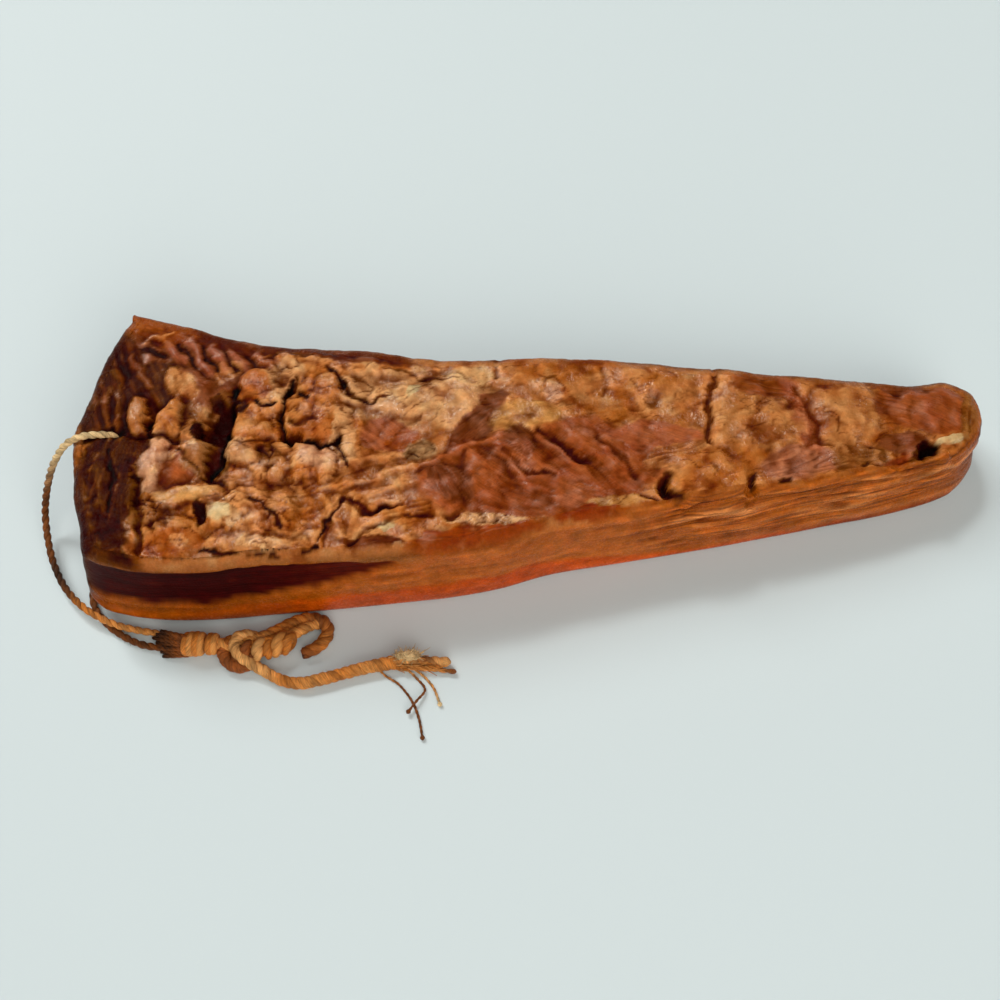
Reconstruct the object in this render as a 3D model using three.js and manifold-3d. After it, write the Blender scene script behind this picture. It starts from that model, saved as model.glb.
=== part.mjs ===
// A slab of smoked fatback lying on its rind, with the hanging string that loops through its
// thick end. X runs along the slab to its thin end, Y across it to the back, Z up, in millimetres.
// The origin is under the middle of the slab's box, on the surface that the rind rests on.
import * as THREE from "three";
import Module from "manifold-3d";
import { mergeVertices } from "three/addons/utils/BufferGeometryUtils.js";

// Outline of the foot, as the rind meets the table: the front and back edges as y over x, and the
// two ends as x over y. The four share their corners.
const frontFoot = through([
  [-176.5, -52], [-171, -57], [-162, -59.5], [-146, -61], [-128, -60.5], [-94, -57.5], [-54, -53.5],
  [-14, -47.5], [6, -41.5], [27, -37.5], [68, -31], [110, -22.5], [152, -13.5], [165, -9.5], [173, -6],
]);
const backFoot = through([
  [-165.5, 61.5], [-153, 58.5], [-136, 53.5], [-111, 46.5], [-94, 44.5], [-74, 44.5], [-33, 41],
  [-13, 40.5], [7, 42], [27, 41.5], [68, 38], [108, 35.5], [153, 33.5], [161, 35], [170, 35.5], [175.5, 34],
]);
const leftFoot = through([
  [-52, -176.5], [-42, -178.5], [-29, -181.5], [-18, -183], [-6, -184], [5, -184], [14, -182],
  [25, -179.5], [39, -176], [53, -170.5], [61.5, -165.5],
]);
const rightFoot = through([[-6, 173], [-1, 178.5], [5, 182.5], [12, 184], [20, 184], [27, 183], [31, 180.5], [34, 175.5]]);

// Height of the top face along the slab, before its relief.
const topHeight = through([[-184, 41], [-150, 42], [-52, 40.5], [68, 37.5], [150, 32.5], [184, 29]]);

// How far each wall leans in from foot to top, and the rounding of its upper and lower edges.
const frontLean = through([[-184, 9], [-150, 7], [-94, 6.5], [27, 5], [68, 6.5], [184, 6]]);
const backLean = 2;
const endLean = { left: 4, right: 2 };
const topRound = 4.5;
const footRound = 3;

// The thick end is lifted a little off the table, so that the string passes under it.
const liftStart = -115;
const liftRise = 7;
const liftReach = 71;

// Mesh of the slab: columns along X, rows across the top, and levels up the wall between its
// rounded edges, as a share of the height.
const columns = 100;
const rows = 28;
const wallLevels = [0.36, 0.66];

// The lean layer that shows in the front wall is sunk between its two fat layers, from the thick
// end to where it runs out.
const leanLayer = { sunk: 1.3, low: 0.36, high: 0.86, end: -48, fade: 30 };

// Lobes of fat and knuckles of meat: x, y, half widths, turn in degrees and height. Where lobes
// meet, the higher one wins, which leaves a crease between them.
const lobes = {
  shoulderFlap: [-159.5, -25, 14.5, 27, 0, 3],
  leftCorner: [-161, -44, 13, 7, 0, 2.6],
  paleTongue: [-147.5, -10, 4.2, 14.5, -5, 3.4],
  nubLeft: [-155, 10.5, 4, 7, 0, 5],
  nubRight: [-142.5, 9.5, 5, 8.5, 0, 5],
  nubBrown: [-134, 3, 5, 5, 0, 3.4],
  fibrousHump: [-138, 24, 9, 6.5, -20, 3],
  fibrousMound: [-132.5, -9, 11, 7.5, 20, 3.4],
  leafRidge: [-133.5, -23.5, 12.5, 4.2, 8, 4.2],
  orangeSlab: [-137.5, -42, 13.5, 8, 0, 2.8],
  foldHump: [-108.5, -31, 15.5, 10.5, 4, 4.2],
  foldShelf: [-109, -44.5, 17, 5, 2, 3],
  blobSeat: [-119.5, -31.5, 5, 6, 20, 5.2],
  pitBall: [-121.5, 16, 5.5, 4.5, 0, 1.2],
  boulderBrow: [-109.5, 23.5, 7.5, 8, 10, 6.4],
  boulderLeft: [-104.5, 15, 8.5, 9, 0, 6],
  boulderMid: [-85.5, 10, 11.5, 11.5, 0, 6],
  boulderHigh: [-80, 22, 12, 7, -10, 4.4],
  boulderLow: [-110.5, 4.5, 9.5, 6.5, 10, 6],
  shelfLeft: [-113, -6.5, 5.5, 6, 0, 4.6],
  shelfMid: [-102.5, -12, 8, 6, 0, 3],
  shelfPale: [-89, -8.5, 6, 9, 0, 4],
  shelfRight: [-80.5, -10, 5, 7.5, 0, 3.4],
  column: [-71.5, 0, 5, 15, 0, 3.4],
  upperRoll: [-80, 32.5, 26, 5.5, -3, 3],
  centreHump: [-33.5, 18, 14, 10.5, 20, 3],
  tanShelf: [-54, 18, 12, 8, 0, 2.4],
  leanKnuckleA: [-36.5, -20.5, 9, 10, 20, 3],
  leanKnuckleB: [-21, -16, 8.5, 9.5, 15, 2.4],
  leanKnuckleC: [-5.5, -5, 12.5, 7, -35, 2.6],
  leanKnuckleD: [10, -16, 16, 8, -20, 2.2],
  leanKnuckleE: [25.5, -3.5, 15, 5.5, -30, 2.2],
  upperFatLeft: [4.5, 27, 16, 8.5, 0, 2],
  upperFatRight: [47, 27, 18, 7.5, -4, 2],
  yellowFat: [0, 12, 16, 7, -10, 1.8],
  fatBlock: [81, 13, 12.5, 22, 4, 3],
  fatBulge: [66.5, -13, 17, 11, 6, 4],
  fatTongue: [96, 8, 13, 11, 10, 3.4],
  fatLobes: [127, 17.5, 13, 12.5, 0, 3.2],
  leanPad: [156, 18.5, 18, 9, 6, 2.6],
  creamStreak: [166.5, 7.5, 8, 3, 12, 2.4],
  endCurl: [162.5, -8.5, 7, 6, 20, 4],
};

// Hollows, in the same form, with their depth.
const hollows = {
  mainPit: [-123.5, 8, 8, 13, 0, 9],
  pitChannel: [-124.5, -8, 5, 11, 0, 5],
  underBoulder: [-95.5, 0.5, 8, 3, 0, 5],
  smallPit: [-127, -31.5, 3.4, 5, 0, 4],
  darkNook: [-150, 10.5, 3, 7, 0, 4],
  nookRight: [-128, 2.5, 4, 5, 0, 3],
  endCavity: [159, -1, 5.5, 4.5, 0, 7],
  foldHole: [83.5, -18.5, 3, 5.5, 0, 5],
  foldPit: [50.5, -18, 3.4, 6.5, 0, 5],
  browPit: [-75, 22, 3.4, 3, 0, 3],
  creamHole: [-32, -31.5, 4, 3, 0, 3],
  upperHollow: [48.5, 19.5, 6, 4.5, 0, 1.6],
  peakHollow: [-155, 45, 7, 5, 0, 1.6],
};

// Cuts and creases that run along a line: the points, the half width and the depth.
const creases = {
  deepCut: [[[73, 34], [71.5, 25.5], [69, 16], [69, 7.5], [69, 0]], 1.7, 4.5],
  edgeCutLeft: [[[-15, 38], [-15.5, 32], [-14.5, 28]], 1.3, 2],
  edgeCutMid: [[[28, 38], [28.5, 30], [27.5, 21]], 1.3, 1.6],
  flapCrease: [[[-153, -16.5], [-150.5, -27.5], [-150.5, -38], [-148, -47]], 2, 4.5],
  boulderCrease: [[[-95, 27], [-97.5, 18], [-98.5, 7], [-98.5, 0.5]], 1.6, 5],
  underCrease: [[[-97.5, 0], [-89.5, -2], [-80.5, -0.5], [-78, -6], [-77, -14.5]], 1.6, 3],
  flapGap: [[[-178, 1.5], [-168, 3], [-158, 1.5], [-151, 3]], 2.2, 3],
  archCrease: [[[-43.5, 28], [-37.5, 30.5], [-30.5, 31], [-27, 28]], 1.3, 2],
  leafCrease: [[[-72, -47], [-66.5, -40.5], [-59, -35], [-49.5, -32], [-40, -32.5]], 1.5, 2.6],
  leafCreaseLeft: [[[-76.5, -32], [-78.5, -39.5], [-80.5, -46.5]], 1.3, 2],
  strandCrease: [[[-74.5, -26], [-70, -27.5], [-64.5, -31], [-52.5, -27]], 1.4, 2.2],
  foldCrease: [[[40.5, -22], [46.5, -23.5], [51.5, -25], [59.5, -26], [69.5, -24.5]], 1.5, 3],
  leanCrease: [[[2.5, 5], [8.5, -1], [16, -7.5], [21.5, -7.5]], 1.8, 2.4],
  stripCrease: [[[106.5, 27], [108.5, 17], [112, 8.5], [113, 1]], 2, 1.8],
  endCrease: [[[139, -8.5], [146, -7], [154.5, -4], [159, -1.5]], 1.5, 3],
};

// Cords and strands that stand up along a line, in the same form, with their height.
const strands = {
  edgeCord: [[[-153, -50.5], [-133, -51], [-111, -51], [-88, -49], [-70, -47.5], [-47, -46.5]], 2.2, 2.2],
  fanHigh: [[[-90.5, -16], [-71.5, -11], [-52.5, -6]], 1.7, 1.8],
  fanMid: [[[-82.5, -21], [-65.5, -16.5], [-48.5, -11.5]], 1.7, 2.2],
  fanLow: [[[-73, -24], [-57.5, -20.5], [-42.5, -14.5]], 1.7, 2],
  longStrand: [[[-54, -16.5], [-40.5, -8.5], [-25, -2], [-13.5, 2.5]], 1.6, 2],
  leafEdge: [[[-81.5, -24.5], [-74.5, -33.5], [-72, -45]], 1.5, 2],
  endFlap: [[[143, -16], [155.5, -12], [161.5, -7], [163.5, -1]], 1.6, 2.4],
  membrane: [[[94, -13], [98.5, -6], [109, -1.5], [121, 0]], 1.8, 1.8],
};

// Muscle bundles that run in step across the lean corner and across the lean field.
const cornerRibs = { count: 6, first: [[-147, 45], [-137, 30]], last: [[-117, 40.5], [-109.5, 31]], halfWidth: 1.8, height: 1.8 };
const fieldRibs = { count: 6, first: [[-24, -6], [-13, -22]], last: [[21, 9], [40, -5]], halfWidth: 2, height: 1.3 };

// Slow unevenness of the top, sharp creases between small lobes, and waviness of the walls.
const swell = { size: 34, height: 1.1, seed: 11 };
const lump = { size: 11, height: 1.5, seed: 23 };
const wander = { size: 15, reach: 1.8, seed: 5 };
const waviness = { size: 24, reach: 0.9, seed: 41 };

// The string: one length that leaves the first knot, passes under the slab, up through it and back.
const stringWidth = 3;
const stringSides = 8;
const stringGap = 0.35;
const stringLoop = [
  [-145, -72.3, 2.2], [-154, -70.8, 1.7], [-162, -67.6, 1.6], [-170, -62, 1.6], [-176, -54.5, 1.6],
  [-177.5, -44, 1.6], [-174, -28, 1.6], [-167, -12, 1.6], [-163, -3.8, 2.2], [-160.8, 0.8, 5.6],
  [-160, 2.3, 11], [-160, 2.4, 20], [-160, 2.4, 30], [-161.2, 2.4, 36.4], [-165, 2.2, 40.6],
  [-170.5, 1.9, 42.4], [-177, 1, 42.4], [-183.5, -1.2, 39.6], [-189.6, -5, 32], [-194.6, -10.4, 22],
  [-197.8, -17, 12], [-197.4, -26, 6.4], [-193.5, -38, 4.6], [-187, -48.6, 5.1], [-179.5, -56, 5.4],
  [-173, -60, 5], [-165, -63.2, 3.6], [-157, -64.8, 2.2], [-150, -65.8, 1.8], [-143.4, -67.8, 3.4],
];
const loopSteps = 48;

// The first knot is a bundle wrapped in two bands: radius along X from its frayed side.
const knotAxis = { y: -71.3, z: 5.2 };
const knotProfile = [
  [-142.5, 3], [-140, 4.3], [-137.5, 4.4], [-136.2, 3.9], [-135.2, 4.9], [-132.4, 5.1], [-129.6, 4.9],
  [-128.4, 3.9], [-127.4, 4.4], [-125.4, 4.5], [-123.6, 4.2], [-122.7, 3.2], [-119.6, 3],
];

// The second knot: wraps of doubled string round a short core, and the bight that hooks out of it.
const doubledWidth = 5.4;
const knotCore = [[-118.9, -72.4, 4.2], [-112, -73.6, 4.4], [-104, -73.2, 4.4], [-96.5, -72, 4]];
const wraps = [
  { x: -114.6, y: -74.2, z: 5.6, radius: 3.1, tube: 2.4, turn: 62 },
  { x: -106.4, y: -72.8, z: 5.1, radius: 2.6, tube: 2.4, turn: 80 },
  { x: -98.6, y: -72.2, z: 5.2, radius: 2.9, tube: 2.2, turn: 72 },
];
const hook = [
  [-108, -68.6, 4], [-101.5, -65, 3.4], [-95.5, -61.7, 3], [-89.5, -60.2, 2.9], [-84, -61.4, 2.9],
  [-81.7, -65.2, 2.9], [-83.4, -69.4, 2.9], [-88, -73.2, 2.9],
];

// The free tail of two strands laid together, its frayed end, and the strands that came loose.
const tail = [
  [-107.2, -81, 3.4], [-103, -83.4, 3], [-98, -85.6, 2.9], [-91.5, -86.6, 2.9], [-83.8, -85.1, 2.9],
  [-74.2, -82.5, 2.9], [-64.5, -80, 2.9], [-55, -78.2, 2.9],
];
const tailSteps = 14;
const frayProfile = [[0, 2.6], [4, 3], [10, 2.7], [17, 1.9], [24.5, 0.9]];
const frayAxis = { x: -53.9, y: -78, z: 3.05, turn: -4 };
const strandWidth = 1.1;
const looseStrands = {
  string_strand_long: [[-58.2, -83.2, 0.7], [-53.4, -86.2, 0.7], [-47.8, -93.1, 0.7], [-45, -99.8, 0.7], [-43.4, -107.4, 0.7]],
  string_strand_mid: [[-46.6, -83.6, 0.7], [-42.8, -88.6, 1], [-46, -93.6, 2.2], [-48.8, -97.4, 2]],
  string_strand_short: [[-43.4, -83.2, 0.7], [-39.4, -88, 0.7], [-37, -94.2, 0.7]],
};

const colors = { meat: "#8f5126", string: "#a8743c", knot: "#9c642f", strand: "#8a5a2c" };

const wasm = await Module();
wasm.setup();

// A smooth curve through a few points, as a function of their first number.
function through(points) {
  const last = points.length - 1;
  const chord = (i) => (points[i + 1][1] - points[i][1]) / (points[i + 1][0] - points[i][0]);
  const slopes = points.map((_, i) => {
    if (i === 0) return chord(0);
    if (i === last) return chord(last - 1);
    return (chord(i - 1) + chord(i)) / 2;
  });
  return (value) => {
    let i = 0;
    while (i < last - 1 && value > points[i + 1][0]) i += 1;
    const width = points[i + 1][0] - points[i][0];
    const u = Math.min(1, Math.max(0, (value - points[i][0]) / width));
    const rise = u * u * (3 - 2 * u);
    const start = u * (1 - u) * (1 - u) * slopes[i] * width;
    const end = u * u * (u - 1) * slopes[i + 1] * width;
    return points[i][1] * (1 - rise) + points[i + 1][1] * rise + start + end;
  };
}

function smoothstep(low, high, value) {
  const u = Math.min(1, Math.max(0, (value - low) / (high - low)));
  return u * u * (3 - 2 * u);
}

// Gradient noise from a hashed lattice, about -1 to 1, the same wherever it is worked out.
function latticeAngle(i, j, seed) {
  let hash = Math.imul(i, 374761393) + Math.imul(j, 668265263) + Math.imul(seed, 1442695041);
  hash = Math.imul(hash ^ (hash >>> 13), 1274126177);
  hash ^= hash >>> 16;
  return ((hash >>> 0) / 4294967296) * 2 * Math.PI;
}

function noise(x, y, seed) {
  const i = Math.floor(x);
  const j = Math.floor(y);
  const fade = (u) => u * u * u * (u * (u * 6 - 15) + 10);
  const corner = (di, dj) => {
    const angle = latticeAngle(i + di, j + dj, seed);
    return Math.cos(angle) * (x - i - di) + Math.sin(angle) * (y - j - dj);
  };
  const across = fade(x - i);
  const near = corner(0, 0) * (1 - across) + corner(1, 0) * across;
  const far = corner(0, 1) * (1 - across) + corner(1, 1) * across;
  const up = fade(y - j);
  return (near * (1 - up) + far * up) * 1.5;
}

// Square of the distance from a feature's centre, 1 on its outline.
function reach(x, y, [cx, cy, halfX, halfY, turn]) {
  const angle = THREE.MathUtils.degToRad(turn);
  const dx = x - cx;
  const dy = y - cy;
  const along = (dx * Math.cos(angle) + dy * Math.sin(angle)) / halfX;
  const across = (dy * Math.cos(angle) - dx * Math.sin(angle)) / halfY;
  return along * along + across * across;
}

function distanceToLine(x, y, line) {
  let nearest = Infinity;
  for (let i = 0; i + 1 < line.length; i += 1) {
    const [ax, ay] = line[i];
    const bx = line[i + 1][0] - ax;
    const by = line[i + 1][1] - ay;
    const u = Math.min(1, Math.max(0, ((x - ax) * bx + (y - ay) * by) / (bx * bx + by * by)));
    nearest = Math.min(nearest, Math.hypot(x - ax - u * bx, y - ay - u * by));
  }
  return nearest;
}

// The lines of ribs between a first and a last one.
function ribLines({ count, first, last, halfWidth, height }) {
  return Array.from({ length: count }, (_, k) => {
    const share = k / (count - 1);
    const line = first.map((point, i) => point.map((value, axis) => value + (last[i][axis] - value) * share));
    return [line, halfWidth, height];
  });
}

const raisedLines = [...Object.values(strands), ...ribLines(cornerRibs), ...ribLines(fieldRibs)];

// Height of the relief on the top face at a place in plan.
function relief(x, y) {
  const wx = x + wander.reach * noise(x / wander.size, y / wander.size, wander.seed);
  const wy = y + wander.reach * noise(x / wander.size, y / wander.size, wander.seed + 1);
  let height = swell.height * noise(x / swell.size, y / swell.size, swell.seed);
  height += lump.height * (Math.min(1, 2.2 * Math.abs(noise(x / lump.size, y / lump.size, lump.seed))) - 0.6);
  let lobe = 0;
  for (const place of Object.values(lobes)) {
    lobe = Math.max(lobe, place[5] * (1 - reach(wx, wy, place)));
  }
  height += lobe;
  for (const place of Object.values(hollows)) {
    height -= place[5] * Math.max(0, 1 - reach(wx, wy, place)) ** 1.5;
  }
  for (const [line, halfWidth, depth] of Object.values(creases)) {
    height -= depth * Math.exp(-((distanceToLine(wx, wy, line) / halfWidth) ** 2));
  }
  for (const [line, halfWidth, rise] of raisedLines) {
    height += rise * Math.exp(-((distanceToLine(wx, wy, line) / halfWidth) ** 2));
  }
  return height;
}

function footLift(x) {
  return liftRise * Math.max(0, (liftStart - x) / liftReach) ** 1.5;
}

// The foot outline as four edges of points, front and back from left to right, ends front to back.
function footEdges() {
  const along = (curve, from, to, steps, asX) =>
    Array.from({ length: steps + 1 }, (_, i) => {
      const value = from + ((to - from) * i) / steps;
      return asX ? new THREE.Vector2(value, curve(value)) : new THREE.Vector2(curve(value), value);
    });
  return {
    front: along(frontFoot, -176.5, 173, columns, true),
    back: along(backFoot, -165.5, 175.5, columns, true),
    left: along(leftFoot, -52, 61.5, rows, false),
    right: along(rightFoot, -6, 34, rows, false),
  };
}

// The closed loop of the outline, anticlockwise from the front left corner, with each point's
// inward direction and how far the wall above it leans in.
function footLoop() {
  const { front, back, left, right } = footEdges();
  const points = [...front.slice(0, -1), ...right.slice(0, -1), ...back.slice(1).reverse(), ...left.slice(1).reverse()];
  const count = points.length;
  return points.map((point, i) => {
    const tangent = points[(i + 1) % count].clone().sub(points[(i - 1 + count) % count]).normalize();
    const inward = new THREE.Vector2(-tangent.y, tangent.x);
    const frontShare = Math.max(0, inward.y);
    const backShare = Math.max(0, -inward.y);
    const endShare = inward.x > 0 ? inward.x * endLean.left : -inward.x * endLean.right;
    const lean = frontShare * frontLean(point.x) + backShare * backLean + endShare;
    return { point, inward, lean, frontShare };
  });
}

// One ring of the wall: its inset from the foot outline and its height. The lean layer is sunk.
function wallRing(loop, inset, heightAt, share) {
  return loop.map(({ point, inward, lean, frontShare }) => {
    const inLayer = share > leanLayer.low - 0.01 && share < leanLayer.high;
    const layerFade = 1 - smoothstep(leanLayer.end - leanLayer.fade, leanLayer.end, point.x);
    const sunk = inLayer ? leanLayer.sunk * frontShare * layerFade : 0;
    const wavy = waviness.reach * noise(point.x / waviness.size, point.y / waviness.size + share * 2, waviness.seed);
    const depth = inset + lean * share + sunk + wavy * Math.min(1, share * 4);
    const place = point.clone().addScaledVector(inward, depth);
    return new THREE.Vector3(place.x, place.y, heightAt(place));
  });
}

// Rings from the foot to the edge of the top face. The quarter rounds have a point halfway.
function wallRings(loop) {
  const halfway = 1 - Math.SQRT1_2;
  const topAt = (place) => topHeight(place.x) + relief(place.x, place.y);
  const between = (share) => (place) => footLift(place.x) + (topAt(place) - footLift(place.x)) * share;
  return [
    wallRing(loop, footRound, (place) => footLift(place.x), 0),
    wallRing(loop, footRound * halfway, (place) => footLift(place.x) + footRound * halfway, 0),
    wallRing(loop, 0, (place) => footLift(place.x) + footRound, 0.08),
    ...wallLevels.map((share) => wallRing(loop, 0, between(share), share)),
    wallRing(loop, 0, (place) => topAt(place) - topRound, 0.9),
    wallRing(loop, topRound * halfway, (place) => topAt(place) - topRound * halfway, 1),
    wallRing(loop, topRound, topAt, 1),
  ];
}

// The top face between the four edges of its ring, as a Coons patch carrying the relief.
function topGrid(ring) {
  const front = ring.slice(0, columns + 1);
  const right = ring.slice(columns, columns + rows + 1);
  const back = ring.slice(columns + rows, 2 * columns + rows + 1).reverse();
  const left = [ring[0], ...ring.slice(2 * columns + rows).reverse()];
  const place = (i, j) => {
    const s = i / columns;
    const t = j / rows;
    const blend = (axis) =>
      front[i][axis] * (1 - t) + back[i][axis] * t + left[j][axis] * (1 - s) + right[j][axis] * s -
      (front[0][axis] * (1 - s) * (1 - t) + front[columns][axis] * s * (1 - t) +
        back[0][axis] * (1 - s) * t + back[columns][axis] * s * t);
    return [blend("x"), blend("y")];
  };
  return Array.from({ length: columns + 1 }, (_, i) =>
    Array.from({ length: rows + 1 }, (_, j) => {
      const [x, y] = place(i, j);
      return new THREE.Vector3(x, y, topHeight(x) + relief(x, y));
    }),
  );
}

// The underside between the first ring's edges: strips across it, and a fan at each rounded end.
function underside(ring, quad, triangle) {
  const count = ring.length;
  const frontAt = (i) => ring[i];
  const backAt = (i) => ring[2 * columns + rows - i];
  for (let i = 1; i < columns - 1; i += 1) quad(frontAt(i), backAt(i), backAt(i + 1), frontAt(i + 1));
  const rightEnd = Array.from({ length: rows + 3 }, (_, k) => ring[columns - 1 + k]);
  const leftEnd = Array.from({ length: rows + 3 }, (_, k) => ring[(2 * columns + rows - 1 + k) % count]);
  for (const end of [rightEnd, leftEnd]) {
    const flat = end.map((point) => new THREE.Vector2(point.x, point.y));
    for (const [a, b, c] of THREE.ShapeUtils.triangulateShape(flat, [])) triangle(end[a], end[c], end[b]);
  }
}

function slabGeometry() {
  const positions = [];
  const triangle = (...corners) => corners.forEach((corner) => positions.push(corner.x, corner.y, corner.z));
  const quad = (a, b, c, d) => {
    triangle(a, b, c);
    triangle(a, c, d);
  };
  const rings = wallRings(footLoop());
  const count = rings[0].length;
  for (let k = 0; k + 1 < rings.length; k += 1) {
    for (let i = 0; i < count; i += 1) {
      const next = (i + 1) % count;
      quad(rings[k][i], rings[k][next], rings[k + 1][next], rings[k + 1][i]);
    }
  }
  const grid = topGrid(rings[rings.length - 1]);
  for (let i = 0; i < columns; i += 1) {
    for (let j = 0; j < rows; j += 1) quad(grid[i][j], grid[i + 1][j], grid[i + 1][j + 1], grid[i][j + 1]);
  }
  underside(rings[0], quad, triangle);
  const geometry = new THREE.BufferGeometry();
  geometry.setAttribute("position", new THREE.Float32BufferAttribute(positions, 3));
  return geometry;
}

// A round tube along a smooth line through the points.
function tube(points, width, steps, sides = stringSides) {
  const curve = new THREE.CatmullRomCurve3(points.map((point) => new THREE.Vector3(...point)), false, "centripetal");
  curve.arcLengthDivisions = 600;
  const section = new THREE.Shape(
    Array.from({ length: sides }, (_, i) => {
      const angle = (2 * Math.PI * (i + 0.5)) / sides;
      return new THREE.Vector2((Math.cos(angle) * width) / 2, (Math.sin(angle) * width) / 2);
    }),
  );
  return new THREE.ExtrudeGeometry(section, { extrudePath: curve, steps, bevelEnabled: false });
}

function toSolid(geometry) {
  const bare = new THREE.BufferGeometry();
  bare.setAttribute("position", geometry.getAttribute("position"));
  if (geometry.index) bare.setIndex(geometry.index);
  const merged = mergeVertices(bare, 1e-4);
  const vertProperties = new Float32Array(merged.getAttribute("position").array);
  return new wasm.Manifold(new wasm.Mesh({ numProp: 3, vertProperties, triVerts: new Uint32Array(merged.index.array) }));
}

function toGeometry(solid) {
  const { vertProperties, triVerts } = solid.getMesh();
  const geometry = new THREE.BufferGeometry();
  geometry.setAttribute("position", new THREE.Float32BufferAttribute(vertProperties, 3));
  geometry.setIndex(Array.from(triVerts));
  return geometry;
}

// The slab, with the way of the string cut through it.
function slabWithStringWay() {
  const way = tube(stringLoop, stringWidth + 2 * stringGap, loopSteps);
  return toGeometry(toSolid(slabGeometry()).subtract(toSolid(way)));
}

function firstKnot() {
  const [first, last] = [knotProfile[0], knotProfile[knotProfile.length - 1]];
  const profile = [[first[0], 0], ...knotProfile, [last[0], 0]];
  const outline = profile.map(([x, radius]) => new THREE.Vector2(radius, -x));
  const geometry = new THREE.LatheGeometry(outline.reverse(), 14);
  geometry.rotateZ(Math.PI / 2);
  geometry.translate(0, knotAxis.y, knotAxis.z);
  return geometry;
}

function secondKnot() {
  let solid = toSolid(tube(knotCore, doubledWidth, 8, 10));
  for (const { x, y, z, radius, tube: thickness, turn } of wraps) {
    const ring = new THREE.TorusGeometry(radius, thickness, 8, 14);
    ring.rotateY(Math.PI / 2);
    ring.rotateZ(THREE.MathUtils.degToRad(turn - 90));
    ring.translate(x, y, z);
    solid = solid.add(toSolid(ring));
  }
  return toGeometry(solid.add(toSolid(tube(hook, doubledWidth, 18, 10))));
}

function frayedEnd() {
  const [first, last] = [frayProfile[0], frayProfile[frayProfile.length - 1]];
  const profile = [[first[0], 0], ...frayProfile, [last[0], 0]];
  const outline = profile.map(([along, radius]) => new THREE.Vector2(radius, -along));
  const geometry = new THREE.LatheGeometry(outline.reverse(), 10);
  geometry.rotateZ(Math.PI / 2);
  geometry.rotateZ(THREE.MathUtils.degToRad(frayAxis.turn));
  geometry.translate(frayAxis.x, frayAxis.y, frayAxis.z);
  return geometry;
}

function piece(name, geometry, color, roughness) {
  const mesh = new THREE.Mesh(geometry, new THREE.MeshStandardMaterial({ color, roughness, metalness: 0 }));
  mesh.name = name;
  return mesh;
}

const fatback = new THREE.Group();
fatback.add(piece("slab", slabWithStringWay(), colors.meat, 0.4));
fatback.add(piece("string_loop", tube(stringLoop, stringWidth, loopSteps), colors.string, 0.75));
fatback.add(piece("string_knot_first", firstKnot(), colors.knot, 0.7));
fatback.add(piece("string_knot_second", secondKnot(), colors.knot, 0.7));
fatback.add(piece("string_tail", tube(tail, doubledWidth, tailSteps), colors.string, 0.75));
fatback.add(piece("string_frayed_end", frayedEnd(), colors.strand, 0.85));
for (const [name, line] of Object.entries(looseStrands)) {
  fatback.add(piece(name, tube(line, strandWidth, 10), colors.strand, 0.85));
}

export default fatback;
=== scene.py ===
# A slab of smoked fatback on its rind, with the hanging string looped through its thick end.
# Measures are in millimetres until a mesh is made: X runs along the slab to its thin end, Y across
# it to the back, Z up.
import math

import bpy
import numpy as np
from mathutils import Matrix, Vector


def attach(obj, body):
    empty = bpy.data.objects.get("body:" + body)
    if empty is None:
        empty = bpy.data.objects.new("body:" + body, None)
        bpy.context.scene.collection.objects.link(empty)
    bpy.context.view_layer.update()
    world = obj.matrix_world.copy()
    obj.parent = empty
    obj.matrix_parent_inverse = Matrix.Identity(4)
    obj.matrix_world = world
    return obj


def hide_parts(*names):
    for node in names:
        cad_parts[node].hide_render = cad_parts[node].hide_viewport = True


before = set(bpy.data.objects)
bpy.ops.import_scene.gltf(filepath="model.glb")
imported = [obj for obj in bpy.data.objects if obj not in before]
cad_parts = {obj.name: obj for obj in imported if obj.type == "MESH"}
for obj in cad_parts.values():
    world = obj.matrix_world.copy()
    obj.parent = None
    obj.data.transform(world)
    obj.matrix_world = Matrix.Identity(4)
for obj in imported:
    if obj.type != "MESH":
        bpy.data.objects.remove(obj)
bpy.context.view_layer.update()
MM = 0.001
TAU = 2 * math.pi
BODY = "root"


# Camera, placed in metres

camera_lens = 46.8
camera_place = (-0.0135, -0.2275, 0.49505)
camera_tilt = 24


def add_camera():
    data = bpy.data.cameras.new("camera")
    data.lens = camera_lens
    data.sensor_width = 36
    camera = bpy.data.objects.new("camera", data)
    camera.location = camera_place
    camera.rotation_euler = (math.radians(camera_tilt), 0, 0)
    bpy.context.scene.collection.objects.link(camera)
    bpy.context.scene.camera = camera


# Colours

def srgb(text):
    return np.array([int(text[k:k + 2], 16) / 255 for k in (1, 3, 5)])


def linear(colour):
    colour = np.clip(colour, 0, 1)
    return np.where(colour <= 0.04045, colour / 12.92, ((colour + 0.055) / 1.055) ** 2.4)


def toward(colour, target, share):
    """Colours moved towards others by a share for each place."""
    return colour + (target - colour) * np.asarray(share)[:, None]


# Noise and curves

def lattice_angle(i, j, seed):
    mixed = (i * 374761393 + j * 668265263 + seed * 1442695041) & 0xFFFFFFFF
    mixed = ((mixed ^ (mixed >> 13)) * 1274126177) & 0xFFFFFFFF
    mixed ^= mixed >> 16
    return mixed / 4294967296 * TAU


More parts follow.
